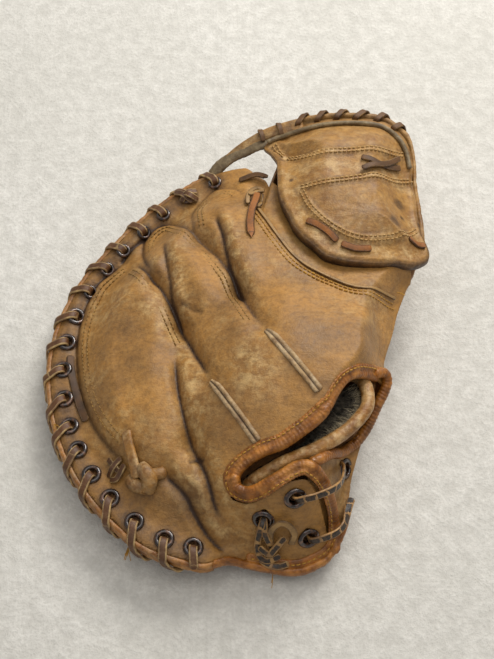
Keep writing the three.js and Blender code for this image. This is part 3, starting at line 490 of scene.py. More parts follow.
def evenly(path, step):
    along = pathLength(path)
    at = np.linspace(0, along[-1], max(4, int(along[-1] / step)))
    return np.column_stack([np.interp(at, along, path[:, k]) for k in range(path.shape[1])])


def ribbed(path, section, wrinkles, seed):
    # a section repeated along a path, pinched into small cross wrinkles
    depth, pitch, swell = (*wrinkles, 0.05)[:3]
    rings = []
    for s in pathLength(path):
        wander = 2.2 * noise.noise(Vector((s / 6, seed, 0)))
        deep = 0.6 + 0.6 * noise.noise(Vector((s / 9, 3.1, seed)))
        size = 1 + swell * noise.noise(Vector((s / 11, seed, 5.0)))
        ring = []
        for a, b in section:
            turn = math.atan2(b, a)
            rib = math.sin(2 * math.pi * s / pitch + wander + 1.2 * math.sin(turn + seed))
            k = size + depth * deep * rib
            ring.append((a * k, b * k))
        rings.append(ring)
    return np.array(rings)


def linear(code):
    # sRGB hex to the linear colour that Blender works in
    parts = [int(code[i:i + 2], 16) / 255 for i in (0, 2, 4)]
    return (*[c / 12.92 if c <= 0.04045 else ((c + 0.055) / 1.055) ** 2.4 for c in parts], 1)


def feed(material, node, inputs):
    # gives each input a link from another node's output, or else a plain value
    for key, value in inputs.items():
        if isinstance(value, bpy.types.NodeSocket):
            material.node_tree.links.new(value, node.inputs[key])
        else:
            node.inputs[key].default_value = value


def addNode(material, kind, inputs=None, **settings):
    node = material.node_tree.nodes.new(kind)
    for key, value in settings.items():
        setattr(node, key, value)
    feed(material, node, inputs or {})
    return node


def mixColour(material, factor, first, second):
    node = addNode(material, "ShaderNodeMix", data_type="RGBA", clamp_factor=True)
    feed(material, node, {0: factor, 6: first, 7: second})
    return node.outputs[2]


def ramp(material, value, low, high, first=0.0, last=1.0):
    span = {"Value": value, "From Min": low, "From Max": high, "To Min": first, "To Max": last}
    return addNode(material, "ShaderNodeMapRange", span, clamp=True).outputs["Result"]


def newMaterial(name):
    material = bpy.data.materials.new(name)
    material.use_nodes = True
    shader = material.node_tree.nodes["Principled BSDF"]
    return material, shader, addNode(material, "ShaderNodeTexCoord").outputs["Object"]


def noiseAt(material, where, size, detail=6.0, roughness=0.6, distortion=0.0):
    # fractal noise whose largest cells are about so many millimetres wide
    inputs = {"Vector": where, "Scale": 1000.0 / size, "Detail": detail, "Roughness": roughness}
    inputs["Distortion"] = distortion
    return addNode(material, "ShaderNodeTexNoise", inputs).outputs["Fac"]


def attributeOf(material, name):
    return addNode(material, "ShaderNodeAttribute", attribute_name=name).outputs["Fac"]


def reckon(material, operation, a, b=0.0):
    return addNode(material, "ShaderNodeMath", {0: a, 1: b}, operation=operation).outputs[0]


def multiply(material, a, b):
    return reckon(material, "MULTIPLY", a, b)


def bumpOver(material, height, distance, strength, below=None):
    # distance is how deep the relief is in metres
    settings = {"Height": height, "Strength": strength, "Distance": distance}
    if below is not None:
        settings["Normal"] = below
    return addNode(material, "ShaderNodeBump", settings).outputs[0]


def leatherMaterial(name, base, dark, pale, rough=0.55, blotch=22, scuff=0.5):
    # tanned and oiled cowhide: pores, fine wrinkles, dirt and painted shade dark in the folds, pale rubbed
    # ridges
    material, shader, where = newMaterial(name)
    broad = noiseAt(material, where, blotch)
    fine = noiseAt(material, where, 2.4, 8.0, 0.7)
    fuzz = noiseAt(material, where, 7, 10.0, 0.72, 0.3)
    cells = addNode(material, "ShaderNodeTexVoronoi", {"Vector": where, "Scale": 1100.0})
    pores = cells.outputs["Distance"]
    drawn = {"Vector": where, "Rotation": (0, 0, 0.35), "Scale": (0.3, 1, 1)}
    drawn = addNode(material, "ShaderNodeMapping", drawn).outputs[0]
    lines = noiseAt(material, drawn, 3.2, 4.0, 0.55, 0.6)
    dirt, worn = attributeOf(material, "dirt"), attributeOf(material, "worn")
    colour = mixColour(material, ramp(material, broad, 0.38, 0.62), linear(dark), linear(base))
    rubbedOff = ramp(material, worn, 0, 1, 0.16, 1.5)
    dust = multiply(material, ramp(material, fuzz, 0.44, 0.62, 0, scuff), rubbedOff)
    colour = mixColour(material, dust, colour, linear(pale))
    # the marks darken the colour with real dirt and with painted shade in creases, round eyelets, under the
    # flap and low on the pad
    smearedDirtAndShade = multiply(material, dirt, ramp(material, fine, 0.3, 0.6, 1.05, 0.75))
    inPores = ramp(material, fine, 0.36, 0.56, 0.3, 0)
    inLines = ramp(material, lines, 0.4, 0.5, 0.12, 0)
    for darkening in (inPores, inLines, smearedDirtAndShade):
        colour = mixColour(material, darkening, colour, linear("38220f"))
    relief = bumpOver(material, pores, 0.0003, 0.35)
    relief = bumpOver(material, lines, 0.0009, 0.5, relief)
    relief = bumpOver(material, fuzz, 0.0009, 0.4, relief)
    roughness = ramp(material, broad, 0.3, 0.7, rough - 0.08, rough + 0.1)
    feed(material, shader, {"Base Color": colour, "IOR": 1.5, "Roughness": roughness, "Normal": relief})
    return material


def laceMaterial(name, face, edge, grime, period=40.0, crack=0.0, rough=0.5, wear=0.0):
    # rawhide lace: its coloured face wears off the cut edges and cracks across
    material, shader, where = newMaterial(name)
    fine = noiseAt(material, where, 1.6, 8.0, 0.7)
    blotch = noiseAt(material, where, 5)
    dirt = attributeOf(material, "dirt")
    wander = reckon(material, "ADD", attributeOf(material, "along"), multiply(material, blotch, 7.0))
    cell = reckon(material, "FRACT", multiply(material, wander, 1 / period))
    whole = ramp(material, cell, crack, crack + 0.04)
    ragged = reckon(material, "ADD", attributeOf(material, "face"), multiply(material, fine, 0.6))
    cover = multiply(material, ramp(material, ragged, 0.84 + wear, 0.98 + wear), whole)
    edges = mixColour(material, ramp(material, blotch, 0.4, 0.6), linear(edge), linear(grime))
    colour = mixColour(material, cover, edges, linear(face))
    colour = mixColour(material, ramp(material, fine, 0.36, 0.55, 0.35, 0), colour, linear(grime))
    colour = mixColour(material, multiply(material, dirt, 0.8), colour, linear("24160b"))
    relief = bumpOver(material, cover, 0.0004, 0.6, bumpOver(material, fine, 0.0005, 0.5))
    feed(material, shader, {"Base Color": colour, "Roughness": rough, "IOR": 1.5, "Normal": relief})
    return material


backLeather = leatherMaterial("oiled tan cowhide", "b07e3a", "8c6430", "d2af74", blotch=30)
flapLeather = leatherMaterial("rubbed tan cowhide", "ab7d3b", "8f642f", "d3b27c", blotch=16)
palmLeather = leatherMaterial("palm cowhide", "a87440", "7b5228", "c09a66")
bindingLeather = leatherMaterial("rolled orange calf", "ab661c", "7c480f", "cd9145", rough=0.4, blotch=7)
rimLeather = leatherMaterial("rim welt leather", "b57a38", "85521f", "d0a36a", rough=0.45, scuff=0.6,
                             blotch=8)
rollLeather = leatherMaterial("rubbed tan roll", "b27f3c", "8a5b28", "d6b580", rough=0.5, blotch=12,
                              scuff=0.6)
weltLeather = leatherMaterial("pale raw edge", "b9986a", "8d6c45", "d6bf98", rough=0.7, blotch=5)
pipingLeather = leatherMaterial("grey olive piping", "8b7754", "665538", "b3a07c", rough=0.6, blotch=6)
laceBrown = laceMaterial("brown rawhide lace", "593516", "bd9f6a", "836340", wear=0.12)
laceDirty = laceMaterial("grimy brown lace", "64421c", "8f6b3c", "45301c", rough=0.6)
laceTan = laceMaterial("tan rawhide lace", "a07b45", "8a6737", "5f4424")
laceOrange = laceMaterial("orange rawhide lace", "985a16", "74491b", "4e3014", rough=0.6)
laceBlack = laceMaterial("cracked dark lace", "1f1813", "b98d55", "7c5a34", period=6.2, crack=0.16,
                         rough=0.4)
laceWorn = laceMaterial("worn dark lace", "241b14", "ab834c", "7c5a34", period=9.0, crack=0.22,
                        rough=0.4, wear=0.16)


def threadMaterial(name, base, dark):
    # waxed thread: a slight sheen on tight twisted fibres
    material, shader, where = newMaterial(name)
    twist = noiseAt(material, where, 1.1, 4.0)
    stain = noiseAt(material, where, 9, 2.0)
    colour = mixColour(material, ramp(material, twist, 0.35, 0.65), linear(dark), linear(base))
    colour = mixColour(material, ramp(material, stain, 0.4, 0.6, 0.45, 0), colour, linear(dark))
    feed(material, shader, {"Base Color": colour, "Roughness": 0.5})
    return material


paleThread = threadMaterial("waxed tan thread", "cfa868", "8d6a38")
yellowThread = threadMaterial("yellow thread", "c9962c", "8f6420")
dullThread = threadMaterial("dull tan thread", "a8813a", "664818")


def eyeletMaterial():
    # pressed metal under worn brown enamel: dark, shiny on its rim
    material, shader, where = newMaterial("worn eyelet enamel")
    wear = {"Vector": where, "Scale": 420.0, "Detail": 6.0}
    wear = addNode(material, "ShaderNodeTexNoise", wear).outputs["Fac"]
    colour = mixColour(material, ramp(material, wear, 0.5, 0.68), linear("24160f"), linear("6d4a33"))
    feed(material, shader, {"Base Color": colour, "Roughness": ramp(material, wear, 0.3, 0.7, 0.2, 0.5)})
    feed(material, shader, {"Metallic": 0.3, "Coat Weight": 1.0, "Coat Roughness": 0.06})
    return material


def fleeceMaterial():
    # matted wool pile, grimy and dark inside, paler in the tufts nearest the roll
    material, shader, where = newMaterial("matted grimy fleece")
    clump = noiseAt(material, where, 3.4, 8.0)
    pale = attributeOf(material, "pale")
    colour = mixColour(material, ramp(material, clump, 0.38, 0.66), linear("2b2720"), linear("8f8675"))
    colour = mixColour(material, ramp(material, pale, 0.25, 1), colour, linear("cdbd9b"))
    relief = bumpOver(material, clump, 0.0015, 1.0)
    feed(material, shader, {"Base Color": colour, "Roughness": 0.95, "Normal": relief})
    return material


eyeletEnamel = eyeletMaterial()
fleeceWool = fleeceMaterial()


def emptyMarks(x):
    return {"dirt": np.zeros(x.shape), "worn": np.zeros(x.shape)}


def twice(marks):
    # the same marks for a sheet's upper and lower points
    return {k: np.concatenate([v, v]) for k, v in marks.items()}


def rimMarks(x, y, marks):
    # handled and dirty along the laced band, its darkening partly painted shade, with a ring of painted
    # shade round each eyelet
    deg = np.degrees(np.arctan2(y, x))
    inset = outlineRoom(x, y, 0)
    laced = smooth((deg % 360 - 92) / 8) * smooth((266 - deg % 360) / 8)
    marks["dirt"] += laced * 0.45 * smooth((16 - inset) / 8)
    for hole in rimHoles:
        hx, hy, _ = rimPoint(hole, holeInset, 0)
        # painted shade in a ring at each eyelet's edge
        marks["dirt"] += 0.4 * np.exp(-((np.hypot(x - hx, y - hy) - 5) / 2.4) ** 2)


# x, y, radius and strength: patches rubbed pale, then patches gone dark
rubbed = [
    (9, -47, 13, 1), (2, -36, 9, 0.7), (-76, 22, 11, 0.9), (-86, 10, 9, 0.6), (-54, 10, 8, 1),
    (-44, -4, 7, 0.9), (-33, -18, 6, 0.7), (-40, 48, 6, 1), (-37, 30, 6, 0.8), (-7, 50, 6, 1),
    (-3, 30, 6, 0.7), (-24, -60, 10, 0.9), (-26, -40, 8, 0.8), (-85, -30, 9, 0.6), (-68, -62, 13, 0.8),
    (-48, -78, 12, 0.6), (-20, -96, 9, 0.7), (0, -118, 10, 0.7), (30, 40, 16, 0.5), (70, 2, 16, 0.5),
    (12, 70, 10, 0.4), (-22, 92, 10, 0.5), (12, -20, 8, 0.6), (-10, -10, 10, 0.5), (-90, 36, 8, 0.5),
]
stained = [
    (-68, -6, 14, 0.3), (-60, -25, 12, 0.2), (-12, 4, 14, 0.35), (0, -14, 10, 0.25), (35, -8, 18, 0.12),
    (50, -30, 12, 0.2), (-98, -45, 10, 0.3), (-60, -100, 12, 0.25), (-22, -104, 10, 0.25),
    (-30, -118, 12, 0.3), (60, 24, 10, 0.15), (30, -60, 8, 0.15),
]
strapHoles = [(30, -112), (38.2, -124.6), (13, -118.6)]
wingHole = (60, -84)
back = dict(step=0.9, edge=2.0, hole=3.6, wall=leather * 1.15, broad=1.1, small=0.4, turnedDown=0.9)


def backRoom(x, y):
    # distance in from the back's free edges: its rim, the mouth, the thumb's side and the holes
    mouth = [*curve(openingRoute, 60), (100, -41), (100, -150), (52, -150), (51, -128),
             *reversed(curve(tongueRoute, 50))]
    room = np.minimum(outlineRoom(x, y, back["edge"]), polygonRoom(x, y, mouth))
    room = np.minimum(room, polygonRoom(x, y, thumbSide))
    for hx, hy in [*[rimPoint(deg, holeInset, 0)[:2] for deg in rimHoles], *strapHoles]:
        room = np.minimum(room, np.hypot(x - hx, y - hy) - back["hole"])
    return room


def addSheet(name, node, top, faces, marks, wall):
    # a leather sheet: its upper points that are used, the same a wall lower, and its cut edge
    top, faces, marks = dropLoose(top, faces, marks)
    points, faces = thicken(top, top - np.array([0, 0, wall]), faces)
    addMesh(name, points, faces, backLeather, [node], "back_leather", twice(marks))


def makeBack():
    x, y, faces = fittedSheet((-126, -150), (104, 130), back["step"], backRoom)
    marks = emptyMarks(x)
    top = backHeight(x, y, marks)
    rimMarks(x, y, marks)
    for key, patches in (("worn", rubbed), ("dirt", stained)):
        for px, py, size, strength in patches:
            marks[key] += strength * np.exp(-((x - px) ** 2 + (y - py) ** 2) / size ** 2)
    room = outlineRoom(x, y, back["edge"])
    uneven = back["broad"] * ripple(x, y, 26, 1.5) + back["small"] * ripple(x, y, 9, 4.5)
    top = top + smooth(room / 14) * uneven
    top = top - back["turnedDown"] * (1 - smooth(room / 2.6))
    addSheet("backLeather", "back_shell", stack(x, y, top), faces, marks, back["wall"])


makeBack()

# share of the way out, inset, share of the flange height, level: the pad's top, side and underside
padRows = [
    (0.02, 16, 0, 23), (0.4, 16, 0, 23), (1, 36, 0.1, 21.6), (1, 26, 0.55, 10), (1, 16, 1, -0.4),
    (1, 6.4, 1, -0.4), (1, 5.6, 1, -1.2), (1, 5.6, 1, -4.2), (1, 7, 1, -5.2), (1, 11.5, 1, -6.8),
    (1, 14.5, 0.72, -4), (1, 17, 0.42, 0), (1, 20, 0.24, 0.2), (1, 24, 0.1, 0), (1, 31, 0, 0),
    (1, 50, 0, 0), (0.5, 16, 0, 12), (0.36, 16, 0, 16), (0.02, 16, 0, 16),
]

pad = dict(turns=260, rings=110, underBack=leather * 1.6, underFlap=9.5, underWing=4.4)


def makePad():
    deg = np.linspace(0, 360, pad["turns"], endpoint=False)
    top = column(outline, rimZ, deg) - leather - 2 * gap
    reachAt = column(outline, reach, deg)
    rings = curve(padRows, pad["rings"])
    points = []
    for s, inset, f, level in rings:
        r = s * (reachAt - inset)
        z = np.maximum(0, f * top + level)
        points.append(np.column_stack([r * np.cos(np.radians(deg)), r * np.sin(np.radians(deg)), z]))
    points = np.array(points)
    # nothing of the pad rises past the leather, the flap or the wing that lie on it
    x, y = points[..., 0], points[..., 1]
    lid = backHeight(x, y) - pad["underBack"]
    dx, dy = x - flapMiddle[0], y - flapMiddle[1]
    flapInset = column(flapOutline, reach, np.degrees(np.arctan2(dy, dx))) - np.hypot(dx, dy)
    lid = np.where(flapInset > -1, np.minimum(lid, flapHeight(x, y) - pad["underFlap"]), lid)
    lid = np.where(inside(x, y, wingSide), np.minimum(lid, wingHeight(x, y) - pad["underWing"]), lid)
    points[..., 2] = np.clip(points[..., 2], 0, np.maximum(lid, 0.5))
    rows, n = points.shape[:2]
    flat = np.vstack([points.reshape(-1, 3), points[0].mean(0), points[-1].mean(0)])
    faces = [tuple(reversed(f)) for f in gridFaces(rows, n, True) + endFans(rows, n)]
    marks = emptyMarks(flat[:, 0])
    # the pad is painted darker towards the floor, as shade under the mitt
    marks["dirt"] += 0.5 * smooth((14 - flat[:, 2]) / 14)
    piece = addMesh("palmPad", flat, faces, palmLeather, ["palm_pad"], "palm_leather", marks)


makePad()

# distance in from the rim and height from its top, round the welt's section
weltSection = [(5, -4.6), (2.9, -4.1), (2.6, -2.6), (1.7, -1.3), (0.5, -0.9), (-0.6, -1.5), (-1.2, -2.9),
               (-0.9, -4.4), (-0.3, -5.1), (-1, -6.2), (-1.3, -8), (-0.8, -10), (0.8, -11), (3, -11.2),
               (5, -10.8)]
edgeSection = [(1.9, 0.6), (1.2, 1.3), (0, 1.6), (-1.1, 1.2), (-1.9, 0), (-2.1, -2), (-1.9, -4),
               (-1.2, -5.2), (0.2, -5.6), (1.4, -5.2), (1.9, -4), (2.1, -2)]


def makeRimWelt(name, node, section, start, stop, material, dirt):
    deg = np.arange(start, stop, 0.35)
    shape = np.array(section)
    rings = []
    for d in deg:
        r = 0.35 * noise.noise(Vector((d / 1.1, 3.3, 0))) + 0.25 * noise.noise(Vector((d / 0.35, 7.3, 0)))
        rings.append(rimPoint(np.full(len(shape), d), shape[:, 0] - r * (shape[:, 0] < 2), shape[:, 1]).T)
    rings = np.array(rings)
    rows, n = rings.shape[:2]
    points = np.vstack([rings.reshape(-1, 3), rings[0].mean(0), rings[-1].mean(0)])
    faces = gridFaces(rows, n, True) + endFans(rows, n)
    marks = emptyMarks(points[:, 0])
    marks["dirt"] += dirt + 0.5 * ripple(points[:, 0] + points[:, 2], points[:, 1], 6, 2.5)
    marks["dirt"] = np.clip(marks["dirt"], 0, 1)
    marks["worn"] += 0.5 + 0.5 * ripple(points[:, 0], points[:, 1], 14, 6.5)
    addMesh(name, points, faces, material, [node], "binding_leather", marks)


makeRimWelt("fingerRimWelt", "finger_rim_welt", weltSection, 96, 264, rimLeather, 0.15)
makeRimWelt("thumbRimWelt", "thumb_rim_welt", weltSection, 24, 78, flapLeather, 0.1)
makeRimWelt("strapEdgeBinding", "strap_edge_binding", edgeSection, 264, 299, bindingLeather, 0.1)


# x, y, radius, depth of colour: spots, a hole painted in as a dark spot of shade, and a dot
flapSpots = [(97.5, 77, 3, 0.8), (93, 59, 3.2, 0.8), (98.6, 67, 1.2, 1), (31.3, 90, 1.1, 1),
             (60, 74, 8, 0.2)]
flap = dict(turns=330, rings=90, pull=(76.6, 60.7), fan=0.32, swell=0.7, middle=7)


def makeFlap():
    # rings that close in on the middle, each point on a spoke
    spoke = np.linspace(0, 360, flap["turns"], endpoint=False)
    share = np.linspace(1, 0.02, flap["rings"])[:, None] ** 0.9
    r = share * column(flapOutline, reach, spoke)[None]
    share = share * np.ones_like(r)
    x = flapMiddle[0] + r * np.cos(np.radians(spoke))
    y = flapMiddle[1] + r * np.sin(np.radians(spoke))
    deg = np.degrees(np.arctan2(y - flapMiddle[1], x - flapMiddle[0]))
    marks = emptyMarks(x)
    top = flapHeight(x, y, marks)
    thick = column(flapOutline, edgeThick, deg)
    inset = column(flapOutline, reach, deg) - np.hypot(x - flapMiddle[0], y - flapMiddle[1])
    top = top - 1.4 * (1 - smooth(inset / 3))
    # wrinkles that run out from where the thumb pulls
    wx, wy = x - flap["pull"][0], y - flap["pull"][1]
    far = np.hypot(wx, wy) + 0.01
    fan = 1.6 * ripple(5.5 * wx / far, 5.5 * wy / far, 1, 3.7) + 0.5 * ripple(x, y, 5, 7.5)
    fan = fan * np.exp(-((far - 12) / 13) ** 2) * smooth(far / 9)
    top = top + flap["fan"] * fan + flap["swell"] * ripple(x, y, 18, 9.5) * smooth((1 - share) * 6)
    marks["worn"] += 0.25 + 0.3 * fan + 0.5 * smooth((y - 84) / 8) * smooth((104 - y) / 8)
    marks["dirt"] += 0.25 * np.exp(-(far / 12) ** 2)
    low = smooth((80 - np.abs((deg - 262 + 180) % 360 - 180)) / 12)
    grime = 0.75 + 0.5 * ripple(x, y, 5, 2.2)
    marks["dirt"] += 0.62 * grime * smooth((3 - inset) / 2.6) * low + 0.3 * smooth((2.4 - inset) / 2)
    marks["worn"] += 0.8 * low * np.exp(-((inset - 7) / 3.5) ** 2)
    for px, py, size, colour in flapSpots:
        marks["dirt"] += colour * smooth(1.6 - np.hypot(x - px, y - py) / size)
    under = top - thick - (flap["middle"] - thick) * smooth((1 - share) * 3) + 0.4
    n = x.shape[1]
    topPoints, lowPoints = stack(x, y, top), stack(x, y, under)
    faces = gridFaces(*x.shape, True)
    last = (x.shape[0] - 1) * n
    middle = len(topPoints)
    topPoints = np.vstack([topPoints, topPoints[last:].mean(0)])
    lowPoints = np.vstack([lowPoints, lowPoints[last:].mean(0)])
    faces += [(last + j, last + (j + 1) % n, middle) for j in range(n)]
    points, faces = thicken(topPoints, lowPoints, faces)
    marks = twice({k: np.append(v.ravel(), 0) for k, v in marks.items()})
    # the flap's underside is painted darker, as shade beneath it
    marks["dirt"][len(topPoints):] += 0.35
    piece = addMesh("thumbFlap", points, faces, flapLeather, ["thumb_flap"], "thumb_leather", marks)


makeFlap()


def addTube(name, path, sections, material, node, slot, up=None, dirt=0.15, seed=1.0, worn=0.4):
    points, faces = tubeMesh(path, sections, up)
    marks = emptyMarks(points[:, 0])
    marks["dirt"] += np.clip(dirt + 0.5 * ripple(points[:, 0], points[:, 1], 7, seed), 0, 1)
    marks["worn"] += np.clip(worn + 0.9 * ripple(points[:, 0], points[:, 1], 11, seed + 4), 0, 1)
    addMesh(name, points, faces, material, [node] if node else [], slot, marks)


def addRoll(name, node, path, section, wrinkles, seed, material, slot, up=None, dirt=0.1, worn=0.4):
    # wrinkles: their depth and pitch, and where it matters how far the roll swells and thins
    addTube(name, path, ribbed(path, section, wrinkles, seed), material, node, slot, up, dirt, seed, worn)


def boundSection(radius, band, base, hand):
    # a round roll and, beside it, the raw side of the strip lying on the leather at the height base
    turn = np.radians(np.linspace(38, 322, 13))
    points = [(radius * math.cos(t), radius * math.sin(t)) for t in turn]
    points += [(radius * 0.9, base - 0.1), (radius + band, base), (radius + band + 0.4, base + 0.5),
               (radius + band - 0.1, base + 1.1), (radius + 0.5, base + 0.9)]
    return [(-hand * a, b) for a, b in points]


def pathStitches(path, up, spacing, thick=0.4, share=0.62):
    # stitches along a line in space, each a short arched thread
    total = pathLength(path)
    parts = []
    for at in np.arange(0.5 * spacing, total[-1] - spacing, spacing):
        t = np.linspace(at, at + spacing * share, 5)
        line = np.column_stack([np.interp(t, total, path[:, k]) for k in range(3)])
        normal = np.column_stack([np.interp(t, total, up[:, k]) for k in range(3)])
        arch = np.array([-0.6, 0.35, 0.5, 0.35, -0.6])[:, None] * thick
        parts.append(tubeMesh(line + normal * arch, roundSection(thick, 6), normal))
    return joinParts(parts)


binding = dict(roll=3, band=2.7, base=1.1, wrinkles=(0.042, 2.3))
bindingThreads = []


def addBinding(name, node, route, lift, hand, seed, radius=binding["roll"]):
    path = evenly(onSurface(route, backHeight, lift, 200), 0.4)
    up = surfaceUp(backHeight, path)
    section = boundSection(radius, binding["band"], binding["base"], hand)
    addRoll(name, node, path, section, binding["wrinkles"], seed, bindingLeather, "binding_leather", up)
    side = unit(np.cross(np.gradient(path, axis=0), up))
    line = path - side * hand * (radius + binding["band"] * 0.5) + up * (binding["base"] + 1.1)
    bindingThreads.append(pathStitches(line, up, 3.0))


def surfaceUp(height, path):
    return normalAt(height, path[:, 0], path[:, 1])


# the mouth's upper edge, from inside its left end round to the corner by the wrist
upperRoute = [(-2.2, -105.5), (-3.2, -101.5), (-1.5, -97.5), (4.5, -92.8), (13, -89), (22.5, -86.5),
              (31.5, -81.5), (40.5, -75.5), (48, -68.5), (52.8, -59.5), (57.5, -52.5), (64, -47),
              (71.5, -42.5), (78, -39.5)]
addBinding("openingBinding", "opening_binding", upperRoute, -leather / 2, 1, 3)
# the tongue's edge, from the left end under the upper binding to its foot
lowerRoute = [(-3, -101), (-1.8, -105.2), (3.4, -108), (9.6, -107.5), (17.3, -104.6), (24.2, -101),
              (30.2, -98), (35.4, -97.2), (40.6, -99), (45, -101.5), (48.6, -104.5), (51.4, -109),
              (53, -114.5), (54, -121), (53.5, -128)]
addBinding("tongueBinding", "tongue_binding", lowerRoute, 0, -1, 5, 2.9)
# the wing's edge, up beside the roll and round the corner to meet the upper binding
wingEdge = [(39, -95), (44.3, -92), (53.4, -82.8), (61.9, -74), (68.7, -67.5), (72.8, -62), (76.3, -56.5)]
wingLine = onSurface(wingEdge, wingHeight, 0, 80)
cornerLine = [(79, -51, 44.5), (82.4, -45, 48), (84.4, -39.5, 51.5), (82.6, -36.4, 55.5),
              (77, -38.4, 59.5)]
wingPath = evenly(curve([*wingLine[::8].tolist(), *cornerLine], 200), 0.4)
addRoll("wingBinding", "wing_binding", wingPath, roundSection(3), (0.07, 2.3), 8, bindingLeather,
        "binding_leather", dirt=0.15)


def makeCuffWall():
    # the inner face of the leather that goes round the wrist behind the roll, painted dark as the shade
    # inside the opening
    rail = curve([(66, -70, 38), (73, -61.5, 37.5), (79, -51, 43.5), (83, -44, 47.5), (84, -38.5, 51.5),
                  (80, -35.8, 56)], 50)
    rows = []
    for t in np.linspace(0, 1, 14):
        rows.append(rail + np.array([-15, 4, -13]) * t + np.array([0, 0, -3]) * math.sin(math.pi * t))
    rows = np.array(rows)
    upper = rows.reshape(-1, 3)
    points, faces = thicken(upper, upper - np.array([1.4, 0, 1.4]), gridFaces(*rows.shape[:2], False))
    marks = emptyMarks(points[:, 0])
    # darkened as painted shade of the opening
    marks["dirt"] += 0.65 + 0.3 * ripple(points[:, 0], points[:, 1], 9, 3.2)
    addMesh("cuffWall", points, faces, bindingLeather, None, "binding_leather", marks)


makeCuffWall()
# the roll, as seen: it starts by the mouth's left end and turns in under the upper binding
softRoll = [(3, -101, 42), (7, -99.6, 48), (13.6, -97.2, 53), (21.9, -93.6, 57), (30.6, -90.2, 59),
            (39.4, -86.6, 60), (48.3, -81.9, 60), (57.3, -76, 60), (64.6, -69, 60), (70.6, -61, 60),
            (72, -52.8, 59), (70.6, -44.5, 58), (67.5, -39, 56), (63, -36, 53)]
rollPath = evenly(curve(softRoll, 200), 0.6)
addRoll("cuffRoll", "cuff_roll", rollPath, roundSection(3.9, 18), (0.03, 4.5, 0.12), 12, rollLeather,
        "roll_leather", dirt=0.02, worn=0.9)

lining = dict(rows=20, columns=90, wall=2.6, strands=2300, length=9, thick=0.16)


def makeLining():
    # fleece that slopes away behind the roll, with its matted pile standing up in tufts
    path = curve(softRoll[1:-1], lining["columns"])
    tangent = unit(np.gradient(path[:, :2], axis=0))
    inward = np.column_stack([-tangent[:, 1], tangent[:, 0], np.zeros(len(path))])
    standing = inward * 0.7 + np.array([0, 0, 0.7])
    right = smooth((np.linspace(0, 1, len(path)) - 0.35) / 0.25)[:, None]
    top = path - np.array([0, 0, 3.4])
    rows = []
    for t in np.linspace(0, 1, lining["rows"]):
        p = top + inward * (11 + 9 * right) * t - np.array([0, 0, 1.0]) * (14 - 7 * right) * t
        lump = 1.1 * ripple(p[:, 0] + 40 * t, p[:, 1], 3, 1.5)
        lump += 0.5 * ripple(p[:, 0], p[:, 1] + 30 * t, 1.4, 2.5)
        rows.append(p + standing * lump[:, None])
    rows = np.array(rows)
    sheet = [tuple(reversed(f)) for f in gridFaces(*rows.shape[:2], False)]
    base = thicken(rows.reshape(-1, 3), (rows - standing[None] * lining["wall"]).reshape(-1, 3), sheet)
    parts, pale = [base], [np.full(len(base[0]), 0.1)]
    for _ in range(lining["strands"]):
        i = random.randrange(1, lining["rows"] - 1)
        j = random.randrange(int(lining["columns"] * 0.3), lining["columns"] - 1)
        root = rows[i, j] + np.array([random.uniform(-0.6, 0.6), random.uniform(-0.6, 0.6), -0.4])
        flow = np.array([tangent[j, 0], tangent[j, 1], 0]) * random.uniform(-1.0, 0.1)
        lean = inward[j] * random.uniform(0.5, 1.1) + flow + np.array([0, 0, random.uniform(0.1, 0.9)])
        reachOut = lining["length"] * random.uniform(0.5, 1.1) * (0.5 + 0.5 * right[j, 0])
        t = np.linspace(0, 1, 5)[:, None]
        droop = np.array([0, 0, -0.5]) * t ** 2
        strand = root + (lean / np.linalg.norm(lean) * t + droop) * reachOut
        taper = lining["thick"] * np.linspace(1, 0.4, 5)
        parts.append(tubeMesh(strand, np.array([roundSection(r, 3) for r in taper])))
        tone = (1 if i < 5 and random.random() < 0.7 else 0) + random.uniform(0, 0.35)
        pale.append(np.full(len(parts[-1][0]), tone))
    pale = {"pale": np.concatenate(pale)}
    addMesh("fleeceLining", *joinParts(parts), fleeceWool, ["fleece_lining"], "fleece", pale)


makeLining()

wing = dict(step=0.8, edge=1.2, wall=2.2)


def wingRoom(x, y):
    side = [(37, -97), *curve(wingEdge, 50), (100, -50), (90, -150), (47, -150), (42, -125), (37, -112)]
    room = np.minimum(-polygonRoom(x, y, side), outlineRoom(x, y, wing["edge"]))
    return np.minimum(room, np.hypot(x - wingHole[0], y - wingHole[1]) - back["hole"])


def makeWing():
    # the strap's second half, tucked under the tongue
    x, y, faces = fittedSheet((35, -140), (86, -48), wing["step"], wingRoom)
    marks = emptyMarks(x)
    marks["dirt"] += 0.2 + 0.25 * ripple(x, y, 12, 3.5)
    marks["worn"] += 0.4 + 0.6 * ripple(x, y, 9, 8.5)
    top = wingHeight(x, y) + 0.4 * ripple(x, y, 8, 5.5)
    addSheet("strapWing", "strap_wing", stack(x, y, top), faces, marks, wing["wall"] * 1.2)


makeWing()


def addEyelet(name, node, height, x, y, size=1.0):
    profile = np.array([(3.0, -2.2), (3.0, 0.3), (3.25, 1.2), (3.9, 1.7), (4.7, 1.65), (5.4, 1.2),
                        (5.8, 0.6), (5.7, 0.2), (4.4, 0.1), (3.9, -0.4), (3.7, -2.2)]) * [size, 1]
    n = normalAt(height, x, y)
    side = unit(np.cross(n, [0, 1, 0]))
    front = np.cross(n, side)
    base = np.array([x, y, float(height(x, y))])
    a = np.linspace(0, 2 * np.pi, 32, endpoint=False)
    rings = [base + n * z + r * (np.cos(t) * side + np.sin(t) * front) for t in a for r, z in profile]
    m, whole = len(profile), len(rings)
    faces = [tuple(q % whole for q in f) for f in gridFaces(len(a) + 1, m, True)]
    addMesh(name, rings, faces, eyeletEnamel, [node], "eyelet_metal")


